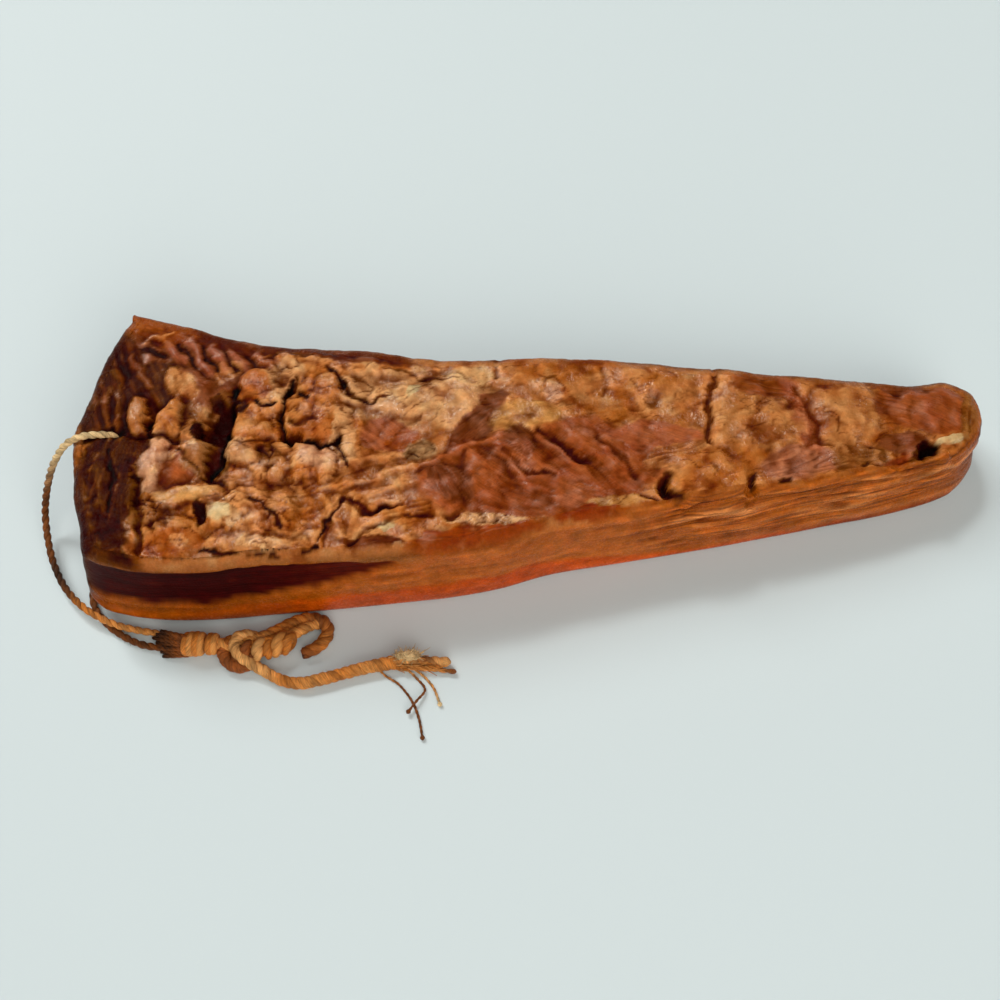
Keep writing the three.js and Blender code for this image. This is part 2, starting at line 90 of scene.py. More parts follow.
def noise(x, y, seed):
    """Gradient noise from a hashed lattice, about -1 to 1."""
    i = np.floor(x).astype(np.int64)
    j = np.floor(y).astype(np.int64)
    dx = x - i
    dy = y - j

    def corner(di, dj):
        angle = lattice_angle(i + di, j + dj, seed)
        return np.cos(angle) * (dx - di) + np.sin(angle) * (dy - dj)

    across = dx ** 3 * (dx * (dx * 6 - 15) + 10)
    up = dy ** 3 * (dy * (dy * 6 - 15) + 10)
    near = corner(0, 0) * (1 - across) + corner(1, 0) * across
    far = corner(0, 1) * (1 - across) + corner(1, 1) * across
    return (near * (1 - up) + far * up) * 1.5


def layered(x, y, seed, octaves=3):
    total = 0
    share = 1
    for k in range(octaves):
        total = total + share * noise(x * 2 ** k, y * 2 ** k, seed + 7 * k)
        share /= 2
    return total


def cells(x, y, seed):
    """Distance to the nearest and the next of scattered points, one in each unit square."""
    i = np.floor(x).astype(np.int64)
    j = np.floor(y).astype(np.int64)
    nearest = np.full(x.shape, 9.0)
    second = np.full(x.shape, 9.0)
    for di in (-1, 0, 1):
        for dj in (-1, 0, 1):
            turn = lattice_angle(i + di, j + dj, seed)
            push = lattice_angle(i + di, j + dj, seed + 1) / TAU * 0.45
            away = np.hypot(x - i - di - 0.5 - push * np.cos(turn), y - j - dj - 0.5 - push * np.sin(turn))
            second = np.minimum(second, np.maximum(nearest, away))
            nearest = np.minimum(nearest, away)
    return nearest, second


def smoothstep(low, high, value):
    u = np.clip((value - low) / (high - low), 0, 1)
    return u * u * (3 - 2 * u)


def through(points):
    """A smooth curve through a few points, as a function of their first number."""
    at = np.array([p[0] for p in points], float)
    to = np.array([p[1] for p in points], float)
    chords = np.diff(to) / np.diff(at)
    slopes = np.concatenate([chords[:1], (chords[:-1] + chords[1:]) / 2, chords[-1:]])

    def curve(value):
        value = np.asarray(value, float)
        i = np.clip(np.searchsorted(at, value, side="left") - 1, 0, len(at) - 2)
        width = at[i + 1] - at[i]
        u = np.clip((value - at[i]) / width, 0, 1)
        rise = u * u * (3 - 2 * u)
        start = u * (1 - u) ** 2 * slopes[i] * width
        end = u * u * (u - 1) * slopes[i + 1] * width
        return to[i] * (1 - rise) + to[i + 1] * rise + start + end

    return curve


def reach(x, y, place):
    """Square of the distance from a feature's centre, 1 on its outline."""
    cx, cy, half_x, half_y, turn = place[:5]
    angle = math.radians(turn)
    along = ((x - cx) * math.cos(angle) + (y - cy) * math.sin(angle)) / half_x
    across = ((y - cy) * math.cos(angle) - (x - cx) * math.sin(angle)) / half_y
    return along ** 2 + across ** 2


def distance_to_line(x, y, line):
    nearest = np.full(np.shape(x), 1e9)
    for (ax, ay), (bx, by) in zip(line, line[1:]):
        dx, dy = bx - ax, by - ay
        u = np.clip(((x - ax) * dx + (y - ay) * dy) / (dx * dx + dy * dy), 0, 1)
        nearest = np.minimum(nearest, np.hypot(x - ax - u * dx, y - ay - u * dy))
    return nearest


def blurred(grid, reach_i, reach_j):
    """The grid with each value averaged over its neighbours, three box passes each way."""
    for axis, size in ((0, reach_i), (1, reach_j)):
        for _ in range(3):
            pad = [(0, 0)] * grid.ndim
            pad[axis] = (size + 1, size)
            total = np.cumsum(np.pad(grid, pad, mode="edge"), axis=axis)
            count = grid.shape[axis]
            ahead = np.take(total, range(2 * size + 1, 2 * size + 1 + count), axis=axis)
            behind = np.take(total, range(count), axis=axis)
            grid = (ahead - behind) / (2 * size + 1)
    return grid


# Mesh making

def mesh_object(name, points, faces, attributes=None):
    """A smooth-shaded object from arrays. Points are in millimetres."""
    mesh = bpy.data.meshes.new(name)
    mesh.from_pydata((np.asarray(points) * MM).tolist(), [], [list(face) for face in faces])
    for key, (kind, values) in (attributes or {}).items():
        layer = mesh.attributes.new(key, kind, "POINT")
        part = "color" if kind == "FLOAT_COLOR" else "vector"
        layer.data.foreach_set(part, np.ravel(values).astype(np.float32))
    mesh.polygons.foreach_set("use_smooth", [True] * len(mesh.polygons))
    obj = bpy.data.objects.new(name, mesh)
    bpy.context.scene.collection.objects.link(obj)
    return obj


def smooth_line(points, count):
    """Evenly spaced points on a centripetal curve through the given ones."""
    p = np.array(points, float)
    p = np.vstack([2 * p[0] - p[1], p, 2 * p[-1] - p[-2]])
    dense = []
    for k in range(1, len(p) - 2):
        d = [max(np.linalg.norm(p[k + m] - p[k + m - 1]) ** 0.5, 1e-6) for m in range(3)]
        t1 = (p[k] - p[k - 1]) / d[0] - (p[k + 1] - p[k - 1]) / (d[0] + d[1]) + (p[k + 1] - p[k]) / d[1]
        t2 = (p[k + 1] - p[k]) / d[1] - (p[k + 2] - p[k]) / (d[1] + d[2]) + (p[k + 2] - p[k + 1]) / d[2]
        t1, t2 = t1 * d[1], t2 * d[1]
        u = np.linspace(0, 1, 40, endpoint=False)[:, None]
        cubic = 2 * p[k] - 2 * p[k + 1] + t1 + t2
        square = -3 * p[k] + 3 * p[k + 1] - 2 * t1 - t2
        dense.append(p[k] + t1 * u + square * u ** 2 + cubic * u ** 3)
    dense = np.vstack(dense + [p[-2:-1]])
    run = np.concatenate([[0], np.cumsum(np.linalg.norm(np.diff(dense, axis=0), axis=1))])
    even = np.linspace(0, run[-1], count)
    return np.stack([np.interp(even, run, dense[:, axis]) for axis in range(3)], axis=1)


def length_of(line):
    return float(np.linalg.norm(np.diff(line, axis=0), axis=1).sum())


def frames_along(line):
    """Two directions across the line at each point, carried along it without twist."""
    tangents = np.gradient(line, axis=0)
    tangents /= np.linalg.norm(tangents, axis=1)[:, None]
    side = np.cross(tangents[0], [0, 0, 1])
    if np.linalg.norm(side) < 0.1:
        side = np.cross(tangents[0], [0, 1, 0])
    sides = []
    for tangent in tangents:
        side = side - tangent * side.dot(tangent)
        side = side / np.linalg.norm(side)
        sides.append(side)
    sides = np.array(sides)
    return sides, np.cross(tangents, sides)


def tube_arrays(line, radius, sides=8, lay=0.0, tint=(0.5, 0.3, 0.1)):
    """Points, faces, fibre coordinates and colours of a tube. Its radius and tint may vary along it."""
    count = len(line)
    across, up = frames_along(line)
    radius = np.broadcast_to(radius, (count,))[:, None, None]
    angles = np.arange(sides) / sides * TAU
    ring = across[:, None] * np.cos(angles)[None, :, None] + up[:, None] * np.sin(angles)[None, :, None]
    points = (line[:, None] + ring * radius).reshape(-1, 3)
    run = np.concatenate([[0], np.cumsum(np.linalg.norm(np.diff(line, axis=0), axis=1))])
    turned = angles[None] + lay * run[:, None]
    flat = radius[:, :, 0]
    runs = np.repeat(run[:, None], sides, 1)
    grain = np.stack([flat * np.cos(turned), flat * np.sin(turned), runs], axis=2)
    paint = np.repeat(np.broadcast_to(tint, (count, 3)), sides, 0)
    faces = []
    for k in range(count - 1):
        here, there = k * sides, (k + 1) * sides
        for m in range(sides):
            n = (m + 1) % sides
            faces.append((here + m, here + n, there + n, there + m))
    faces.append(tuple(range(sides))[::-1])
    faces.append(tuple(range((count - 1) * sides, count * sides)))
    return points, faces, grain.reshape(-1, 3), paint


def joined(parts):
    """Several (points, faces, grain, paint) as one."""
    points, faces, grain, paint = [], [], [], []
    start = 0
    for part_points, part_faces, part_grain, part_paint in parts:
        points.append(part_points)
        grain.append(part_grain + np.array([0, 0, 37.0 * len(points)]))
        paint.append(part_paint)
        faces.extend(tuple(v + start for v in face) for face in part_faces)
        start += len(part_points)
    return np.vstack(points), faces, np.vstack(grain), np.vstack(paint)


# Making string. Its width is shared out among its plies by their number: the radius of each, and how
# far its middle is from the string's. The plies differ a little in shade.

ply_radius = {1: 0.5, 2: 0.335, 3: 0.31}
ply_offset = {1: 0.0, 2: 0.18, 3: 0.205}
ply_shade = [1.18, 0.8, 1.0]
fibre_lay = -1.1
lowest_fibre = 0.15


def resampled(values, count):
    """Values given along a line, or one value for all of it, at a number of even places."""
    values = np.atleast_2d(values)
    source = np.linspace(0, 1, len(values))
    run = np.linspace(0, 1, count)
    return np.stack([np.interp(run, source, column) for column in values.T], axis=1)


def rope(line, width, plies, pitch, tint, step=0.7, sides=8):
    """Plies laid round a line. The width and the tint may vary along it."""
    count = max(8, int(length_of(line) / step))
    even = resampled(line, count)
    tint = resampled(tint, count)
    across, up = frames_along(even)
    wide = resampled(np.reshape(width, (-1, 1)), count)[:, 0]
    along = np.linspace(0, length_of(even), count)
    parts = []
    for ply in range(plies):
        angle = along / pitch * TAU + ply / plies * TAU
        uneven = 1 + 0.07 * noise(along / 6, np.full(count, ply * 3.1), 91)
        shift = (ply_offset[plies] * wide * uneven)[:, None]
        centre = even + (across * np.cos(angle)[:, None] + up * np.sin(angle)[:, None]) * shift
        shade = (ply_shade[ply] + 0.2 * noise(along / 9, np.full(count, ply * 5.3), 92))[:, None]
        radius = ply_radius[plies] * wide * uneven
        parts.append(tube_arrays(centre, radius, sides, fibre_lay * TAU / pitch, tint * shade))
    return joined(parts)


def yarn(route, width, plies, pitch, names, count=60, sides=8, step=0.7):
    """A rope along a smooth route, with the named tints along it."""
    return rope(smooth_line(route, count), width, plies, pitch, tints(*names), step, sides)


def stray_fibres(line, width, count, longest, seed, tint, thick=0.08):
    """Short fine fibres that stand off a string."""
    draw = np.random.default_rng(seed)
    across, up = frames_along(line)
    tint = resampled(tint, len(line))
    parts = []
    for _ in range(count):
        k = int(draw.integers(2, len(line) - 6))
        turn = draw.uniform(0, TAU)
        out = across[k] * math.cos(turn) + up[k] * math.sin(turn)
        along = line[min(k + 4, len(line) - 1)] - line[k]
        along = along / np.linalg.norm(along) * draw.choice([-1, 1])
        reach_out = draw.uniform(0.3, 1) * longest
        start = line[k] + out * width * 0.4
        bend = start + along * reach_out * 0.5 + out * reach_out * 0.3
        end = start + along * reach_out * draw.uniform(0.5, 1) + out * reach_out * draw.uniform(0.3, 0.7)
        fibre = smooth_line([start, bend, end], 5)
        fibre[:, 2] = np.maximum(fibre[:, 2], lowest_fibre)
        parts.append(tube_arrays(fibre, np.linspace(thick, thick * 0.5, 5), 3, tint=tint[k]))
    return parts


def bulb(tip, behind, size, tint):
    """A small swelling at the end of a strand."""
    along = np.array(tip) - np.array(behind)
    along = along / np.linalg.norm(along)
    line = np.array(tip) + along * np.linspace(-0.8, 1.4, 9)[:, None] * size
    line[:, 2] = np.maximum(line[:, 2], size * 1.05)
    radius = size * np.array([0.35, 0.6, 0.85, 1, 1.05, 1, 0.85, 0.55, 0.2])
    return tube_arrays(line, radius, 8, tint=tint)


def ring_line(x, y, z, radius, turn, count):
    """A ring round the knot's length. Its axis lies along X before it is turned."""
    angle = np.linspace(0, TAU, count)
    slew = math.radians(turn - 90)
    flat = radius * np.cos(angle)
    high = z + radius * np.sin(angle)
    return np.stack([x - flat * math.sin(slew), y + flat * math.cos(slew), high], axis=1)


# The string: its tints, the route of the long loop, its knots and its loose end

twine_codes = {
    "cream": "#dabb88", "dry": "#d09556", "tan": "#c98643", "orange": "#bb702b",
    # The darkest browns are the string's smoked colour and also painted shade on it.
    "red": "#8c4a1c", "brown": "#80481f", "smoke_and_shade_brown": "#683711", "black": "#2c1508",
}
twine = {name: linear(srgb(code)) for name, code in twine_codes.items()}
string_width = 3.0
doubled_width = 5.4
strand_width = 1.1

string_loop_route = [
    (-145, -72.3, 2.2), (-154, -70.8, 1.7), (-162, -67.6, 1.6), (-170, -62, 1.6), (-176, -54.5, 1.6),
    (-177.5, -44, 1.6), (-174, -28, 1.6), (-167, -12, 1.6), (-163, -3.8, 2.2), (-160.8, 0.8, 5.6),
    (-160, 2.3, 11), (-160, 2.4, 20), (-160, 2.4, 30), (-161.2, 2.4, 36.4), (-165, 2.2, 40.6),
    (-170.5, 1.9, 42.4), (-177, 1, 42.4), (-183.5, -1.2, 39.6), (-189.6, -5, 32), (-194.6, -10.4, 22),
    (-197.8, -17, 12), (-197.4, -26, 6.4), (-193.5, -38, 4.6), (-187, -48.6, 5.1), (-179.5, -56, 5.4),
    (-173, -60, 5), (-165, -63.2, 3.6), (-157, -64.8, 2.2), (-150, -65.8, 1.8), (-143.4, -67.8, 3.4),
]
# Number of a point of the route, and the tint there. Besides the string's own colours, the tints are painted
# light and shade: cream where the loop lies on the slab's top, dark where it comes out from under the slab
# and where it runs down the slab's thick end and round its corner.
loop_tints_lit_and_shaded = [
    (0, "smoke_and_shade_brown"), (2, "smoke_and_shade_brown"), (10, "brown"), (13, "dry"), (14.5, "cream"), (17, "cream"),
    (18.5, "brown"), (20, "smoke_and_shade_brown"), (21, "brown"), (22, "smoke_and_shade_brown"), (23, "black"), (24, "smoke_and_shade_brown"),
    (25, "orange"), (27, "tan"), (29, "tan"),
]

# The first knot: bands round it are x, radius, width and tint.
knot_axis = (-71.3, 5.2)
wrap_bands = [
    (-136.5, 3.1, 3.4, "orange"), (-134.7, 3.35, 3.5, "tan"), (-132.8, 3.4, 3.5, "orange"),
    (-131, 3.2, 3.3, "tan"), (-127.4, 3, 3.1, "orange"), (-125.7, 2.9, 3, "tan"),
]
dark_ends = [
    [(-136, -69.8, 8.6), (-141, -68.4, 7.6), (-147.4, -65.9, 5)],
    [(-136, -70.4, 8.2), (-142, -69.2, 6.4), (-149.4, -66.8, 3.4)],
    [(-136, -71.4, 8), (-143, -70.2, 5.6), (-151, -67.9, 2.2)],
    [(-136, -72.4, 7), (-142.6, -71.2, 5), (-149.6, -69.6, 1.6)],
    [(-136, -73.4, 6), (-142.4, -72.9, 4), (-148.6, -71.4, 1.3)],
    [(-136, -74.4, 4.6), (-141.8, -74.2, 3), (-147.6, -73.2, 1.2)],
    [(-136, -75, 3.4), (-141.5, -75.2, 2.4), (-146.6, -75.2, 1.2)],
]
lead_ins = {
    "tan": [(-144.6, -67.3, 3.2), (-141, -68.6, 4.4), (-137, -69.8, 5.2), (-132, -71, 5.2)],
    # Painted shade on the strand that comes out from under the slab.
    "smoke_and_shade_brown": [(-146, -72.1, 2.1), (-141, -72.6, 3.2), (-137, -72.2, 4.6), (-132, -71.4, 5.2)],
}

# The second knot: wraps are a centre, radius, width, turn and tint. Yarns are points, widths and
# tints along them, lay, and how many points and sides their mesh has.
knot_core = [(-118.9, -72.4, 4.2), (-112, -73.6, 4.4), (-104, -73.2, 4.4), (-96.5, -72, 4)]
knot_wraps = [
    (-112.6, -73.4, 5.2, 2.7, 4.2, 66, "red"), (-107.8, -73.4, 5.6, 3, 4.6, 74, "dry"),
    (-104.2, -73, 5.2, 2.6, 4, 80, "orange"), (-100, -71.6, 5.9, 3.3, 4.8, 72, "tan"),
    (-96.6, -71, 5.4, 2.9, 4.4, 66, "orange"),
]
knot_yarns = {
    # The lobe darkens from orange to red-brown along its lower part: its own colour and painted shade.
    "dark_lobe": ([
        (-117, -69.8, 5.6), (-120.8, -71, 5), (-122.2, -74.4, 3.9), (-120.4, -77.9, 3.1),
        (-116.8, -79.9, 2.8), (-112.9, -79.4, 3), (-110.8, -77.2, 3.8), (-111.2, -74.6, 4.8),
    ], [5.2], ["orange", "red", "red", "red", "smoke_and_shade_brown"], 9, 80, 12),
    "filler_left": ([
        (-113.4, -71, 3.6), (-117.4, -74, 3.8), (-116.4, -77.4, 3), (-112, -77.4, 3.4),
    ], [4.6], ["brown"], 9, 40, 10),
    "filler_right": ([
        (-101.5, -71.6, 6.2), (-96.6, -68.4, 5.8), (-92.2, -65.4, 4.6), (-88.4, -63, 3.4), (-84.8, -62, 2.8),
    ], [4.6], ["tan"], 9, 40, 10),
    "filler_top": ([
        (-113, -71.6, 6.4), (-107, -71.8, 7.2), (-101, -69.2, 6.8), (-96.5, -66, 5.4),
    ], [4], ["orange"], 9, 40, 10),
    "bridge": ([
        (-107.4, -69.4, 5), (-112, -67.9, 6.4), (-116.4, -69.4, 7.2), (-117.4, -72.8, 7), (-115, -76.4, 6.2),
        (-111.2, -78.9, 4.8), (-107.2, -81, 3.5), (-103, -83.3, 3),
    ], [4, 4.6, 4.8, 4.7, 4.4], ["dry"], 10, 80, 10),
    "hook": ([
        (-119.6, -71.6, 4.6), (-114, -70.6, 6), (-108, -69.2, 6.2), (-102.6, -66.4, 5), (-96, -62.4, 3.6),
        (-89.5, -60.2, 2.9), (-84, -61.4, 2.9), (-81.7, -65.2, 2.9), (-83.4, -69.6, 2.9), (-87.4, -73, 2.9),
        (-91, -74.4, 3.1),
    ], [4.4, 4.6, 5, 5.4, 5.4, 5.4, 5], ["orange", "tan", "orange", "orange", "brown", "orange", "red"],
        11, 120, 10),
}

# The tail, its frayed end, of a few yarns round an axis, and the strands that came loose.
tail_route = [
    (-107.2, -81, 3.4), (-103, -83.4, 3), (-98, -85.6, 2.9), (-91.5, -86.6, 2.9), (-83.8, -85.1, 2.9),
    (-74.2, -82.5, 2.9), (-64.5, -80, 2.9), (-55, -78.2, 2.9),
]
tail_widths = [4.4, 4.5, 5.1, 5, 5, 5.3, 5.8]
tail_tints = ["dry", "orange", "tan", "orange", "tan", "orange"]
fray_axis = (-53.9, -78, 3.05)
fray_yarns = [
    ([(-57, -77.6, 3.6), (-50, -77.4, 3.4), (-42, -77.3, 3.2), (-35.6, -77.9, 3)],
        [4, 3.4, 3.2, 4], ["orange", "dry", "brown", "dry"]),
    ([(-57, -78.8, 2.6), (-48, -80, 2.2), (-39, -80.8, 1.9), (-32, -81.5, 1.8)],
        [3, 2.2, 1.8, 2], ["orange", "tan", "tan", "brown"]),
    ([(-57, -78.2, 2), (-50, -79.4, 1.6), (-43, -79.2, 1.5), (-37, -79.6, 1.4)],
        [3, 2.2, 1.8, 1.6], ["orange", "tan", "dry", "tan"]),
]
mound_radii = [0.9, 1.4, 1.8, 1.7, 2, 2.2, 2.1, 2.2, 1.9, 1.8, 1.3, 0.8]
tuft_fibre_count = 260
loose_fibre_count = 90
loose_strands = {
    "string_strand_long": ([
        (-61.5, -80.4, 2.2), (-58.2, -83.2, 0.7), (-53.4, -86.2, 0.7), (-47.8, -93.1, 0.7), (-45, -99.8, 0.7),
        (-43.4, -107.4, 0.7),
    ], ["tan", "brown", "brown", "smoke_and_shade_brown"]),
    "string_strand_mid": ([
        (-50.5, -80.2, 1.8), (-46.6, -83.6, 0.7), (-42.8, -88.6, 1), (-46, -93.6, 2.2), (-48.8, -97.4, 2),
    ], ["dry", "brown", "brown", "smoke_and_shade_brown"]),
    "string_strand_short": ([
        (-47.5, -80.4, 1.6), (-43.4, -83.2, 0.7), (-39.4, -88, 0.7), (-37, -94.2, 0.7),
    ], ["dry", "dry", "tan", "cream"]),
}


def tints(*names):
    return np.array([twine[name] for name in names])


def tints_along(route, stops):
    """The tint at each point of a route, from stops at some of its points."""
    places = [place for place, _ in stops]
    values = tints(*[name for _, name in stops])
    return np.stack([np.interp(range(len(route)), places, column) for column in values.T], axis=1)


def string_piece(name, parts, stands_for, material):
    points, faces, grain, paint = joined(parts)
    paint = np.hstack([paint, np.ones((len(paint), 1))])
    layers = {"grain": ("FLOAT_VECTOR", grain), "paint": ("FLOAT_COLOR", paint)}
    piece = mesh_object(name, points, faces, layers)
    piece.data.materials.append(material)
    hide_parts(stands_for)
    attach(piece, BODY)
    return piece


def make_loop(material):
    line = smooth_line(string_loop_route, 620)
    tint = tints_along(string_loop_route, loop_tints_lit_and_shaded)
    parts = [rope(line, string_width, 2, 7, tint)] + stray_fibres(line, string_width, 70, 1.8, 3, tint)
    return string_piece("twine_loop", parts, "string_loop", material), line


def make_first_knot(material):
    """Bands round the two strings, with the dark ends of a few more standing out of them."""
    y, z = knot_axis
    parts = []
    for x, radius, width, name in wrap_bands:
        parts.append(rope(ring_line(x, y, z, radius, 84, 48), width, 1, 12, tints(name), sides=14))
    neck = [(-131, y, z), (-124, y, z), (-118.6, y - 0.6, z - 0.6)]
    parts.append(yarn(neck, doubled_width, 3, 11, ["tan"]))
    for name, route in lead_ins.items():
        parts.append(yarn(route, string_width, 2, 7, [name], 40))
    for route in dark_ends:
        parts.append(yarn(route, [2.6, 2.2, 1.5], 3, 8, ["red", "smoke_and_shade_brown", "black"], 30))
    core = smooth_line([(-142, y, z), (-130, y, z), (-120, y, z)], 40)
    parts += stray_fibres(core, 8.4, 16, 2.2, 5, tints("tan"))
    ends = smooth_line([(-148.5, y + 2, z - 1), (-143, y + 1, z), (-138, y, z)], 40)
    parts += stray_fibres(ends, 6.5, 60, 3, 6, tints("black"), thick=0.14)
    return string_piece("twine_knot_first", parts, "string_knot_first", material)


def make_second_knot(material):
    parts = [yarn(knot_core, doubled_width, 3, 10, ["brown"])]
    for x, y, z, radius, width, turn, name in knot_wraps:
        parts.append(rope(ring_line(x, y, z, radius, turn, 60), width, 2, 14, tints(name), sides=12))
    for route, widths, names, pitch, count, sides in knot_yarns.values():
        parts.append(yarn(route, widths, 3, pitch, names, count, sides))
    route, _, names, _, count, _ = knot_yarns["hook"]
    parts += stray_fibres(smooth_line(route, count), doubled_width, 14, 1.8, 9, tints(*names))
    return string_piece("twine_knot_second", parts, "string_knot_second", material)


def make_tail(material):
    line = smooth_line(tail_route, 160)
    tint = tints(*tail_tints)
    parts = [rope(line, tail_widths, 3, 9, tint, sides=10)]
    parts += stray_fibres(line, doubled_width, 22, 2, 13, tint)
    return string_piece("twine_tail", parts, "string_tail", material), line


def tuft_fibre(draw):
    """A short pale fibre that stands out of the tuft."""
    x, y, z = fray_axis
    run, turn = draw.uniform(0, 9.5), draw.uniform(-0.7, 2.6)
    out = np.array([draw.normal(0, 0.5), math.cos(turn), math.sin(turn)])
    start = np.array([x + run - 0.5, y + 1.8, z + 1]) + out * 1.2
    curl = draw.normal(0, 0.9, 3)
    reach_out = draw.uniform(0.7, 2) * (1 - abs(run - 5) / 9)
    middle = start + out * reach_out * 0.6 + curl * 0.5
    fibre = smooth_line([start, middle, start + out * reach_out + curl], 6)
    return tube_arrays(fibre, np.linspace(0.17, 0.09, 6), 4, tint=twine["cream"] * draw.uniform(0.75, 1.12))


def loose_fibre(draw):
    """A longer fibre that runs on past the end of the tail."""
    x, y, z = fray_axis
    start = np.array([x + draw.uniform(-2, 12), y + draw.normal(-0.6, 1.3), z + draw.normal(-0.3, 0.9)])
    out = np.array([draw.uniform(3, 9), draw.normal(-0.8, 1.1), draw.normal(-0.4, 0.7)])
    middle = start + out * 0.5 + draw.normal(0, 0.5, 3)
    fibre = smooth_line([start, middle, start + out], 7)
    fibre[:, 2] = np.clip(fibre[:, 2], 0.25, 6.4)
    name = ("tan", "dry", "orange")[int(draw.integers(3))]
    return tube_arrays(fibre, np.linspace(0.24, 0.1, 7), 4, tint=twine[name])


def make_frayed_end(material):
    """The end of the tail, opened into a few yarns, a pale tuft and many fine fibres."""
    draw = np.random.default_rng(17)
    x, y, z = fray_axis
    parts = []
    for route, widths, names in fray_yarns:
        parts.append(yarn(route, widths, 2, 7, names, step=0.5))
        parts.append(bulb(route[-1], route[-2], widths[-1] * 0.52, twine[names[-1]]))
    mound = smooth_line([(x - 0.5, y + 1.6, z + 1), (x + 4, y + 2, z + 1.3), (x + 9, y + 1.6, z + 0.8)], 12)
    parts.append(tube_arrays(mound, np.array(mound_radii), 10, tint=twine["cream"] * 0.9))
    parts += [tuft_fibre(draw) for _ in range(tuft_fibre_count)]
    parts += [loose_fibre(draw) for _ in range(loose_fibre_count)]
    return string_piece("twine_frayed_end", parts, "string_frayed_end", material)


def make_strand(name, route, names, material):
    line = smooth_line(route, 70)
    tint = tints(*names)
    width = np.array([0.8, 0.95, 1, 1.1, 1]) * strand_width
    parts = [rope(line, width, 2, 4, tint, step=0.4, sides=6)]
    parts.append(bulb(route[-1], route[-2], strand_width * 0.85, tint[-1]))
    parts += stray_fibres(line, strand_width, 5, 1.2, 23, tint)
    return string_piece(name.replace("string", "twine"), parts, name, material)


def make_string(material):
    loop, loop_line = make_loop(material)
    first_knot = make_first_knot(material)
    second_knot = make_second_knot(material)
    tail, tail_line = make_tail(material)
    frayed = make_frayed_end(material)
    strands = [make_strand(name, route, names, material) for name, (route, names) in loose_strands.items()]
    [tuple(p) for p in loop_line * MM]
    [tuple(p) for p in tail_line * MM]


# The slab: named measures of its outline, height and walls

front_foot = through([
    (-176.5, -52), (-171, -57), (-162, -59.5), (-146, -61), (-128, -60.5), (-94, -57.5), (-54, -53.5),
    (-14, -47.5), (6, -41.5), (27, -37.5), (68, -31), (110, -22.5), (152, -13.5), (165, -9.5), (173, -6),
])
back_foot = through([
    (-165.5, 61.5), (-153, 58.5), (-136, 53.5), (-111, 46.5), (-94, 44.5), (-74, 44.5), (-33, 41),
    (-13, 40.5), (7, 42), (27, 41.5), (68, 38), (108, 35.5), (153, 33.5), (161, 35), (170, 35.5), (175.5, 34),
])
left_foot = through([
    (-52, -176.5), (-42, -178.5), (-29, -181.5), (-18, -183), (-6, -184), (5, -184), (14, -182),
    (25, -179.5), (39, -176), (53, -170.5), (61.5, -165.5),
])
right_foot = through([
    (-6, 173), (-1, 178.5), (5, 182.5), (12, 184), (20, 184), (27, 183), (31, 180.5), (34, 175.5),
])
top_height = through([(-184, 41), (-150, 42), (-52, 40.5), (68, 37.5), (150, 32.5), (184, 29)])
front_lean = through([(-184, 9), (-150, 7), (-94, 6.5), (27, 5), (68, 6.5), (184, 6)])
back_lean, left_lean, right_lean = 2, 4, 2
top_round, foot_round = 4.5, 3
lift_start, lift_rise, lift_reach = -115, 7, 71

# Share of the front wall's height up to which each layer shows, along the slab.
rind_high = through([
    (-184, 0.15), (-152, 0.17), (-125, 0.24), (-105, 0.29), (-88, 0.32), (-60, 0.34), (-20, 0.35), (5, 0.35),
    (28, 0.22), (60, 0.13), (90, 0.12), (184, 0.12),
])
strip_low = through([
    (-184, 0.36), (-130, 0.36), (-112, 0.41), (-92, 0.5), (-70, 0.62), (-48, 0.8), (184, 0.9),
])
strip_high = through([(-184, 0.9), (-120, 0.9), (-80, 0.88), (-48, 0.8), (184, 0.7)])
strip_sunk = 1.6

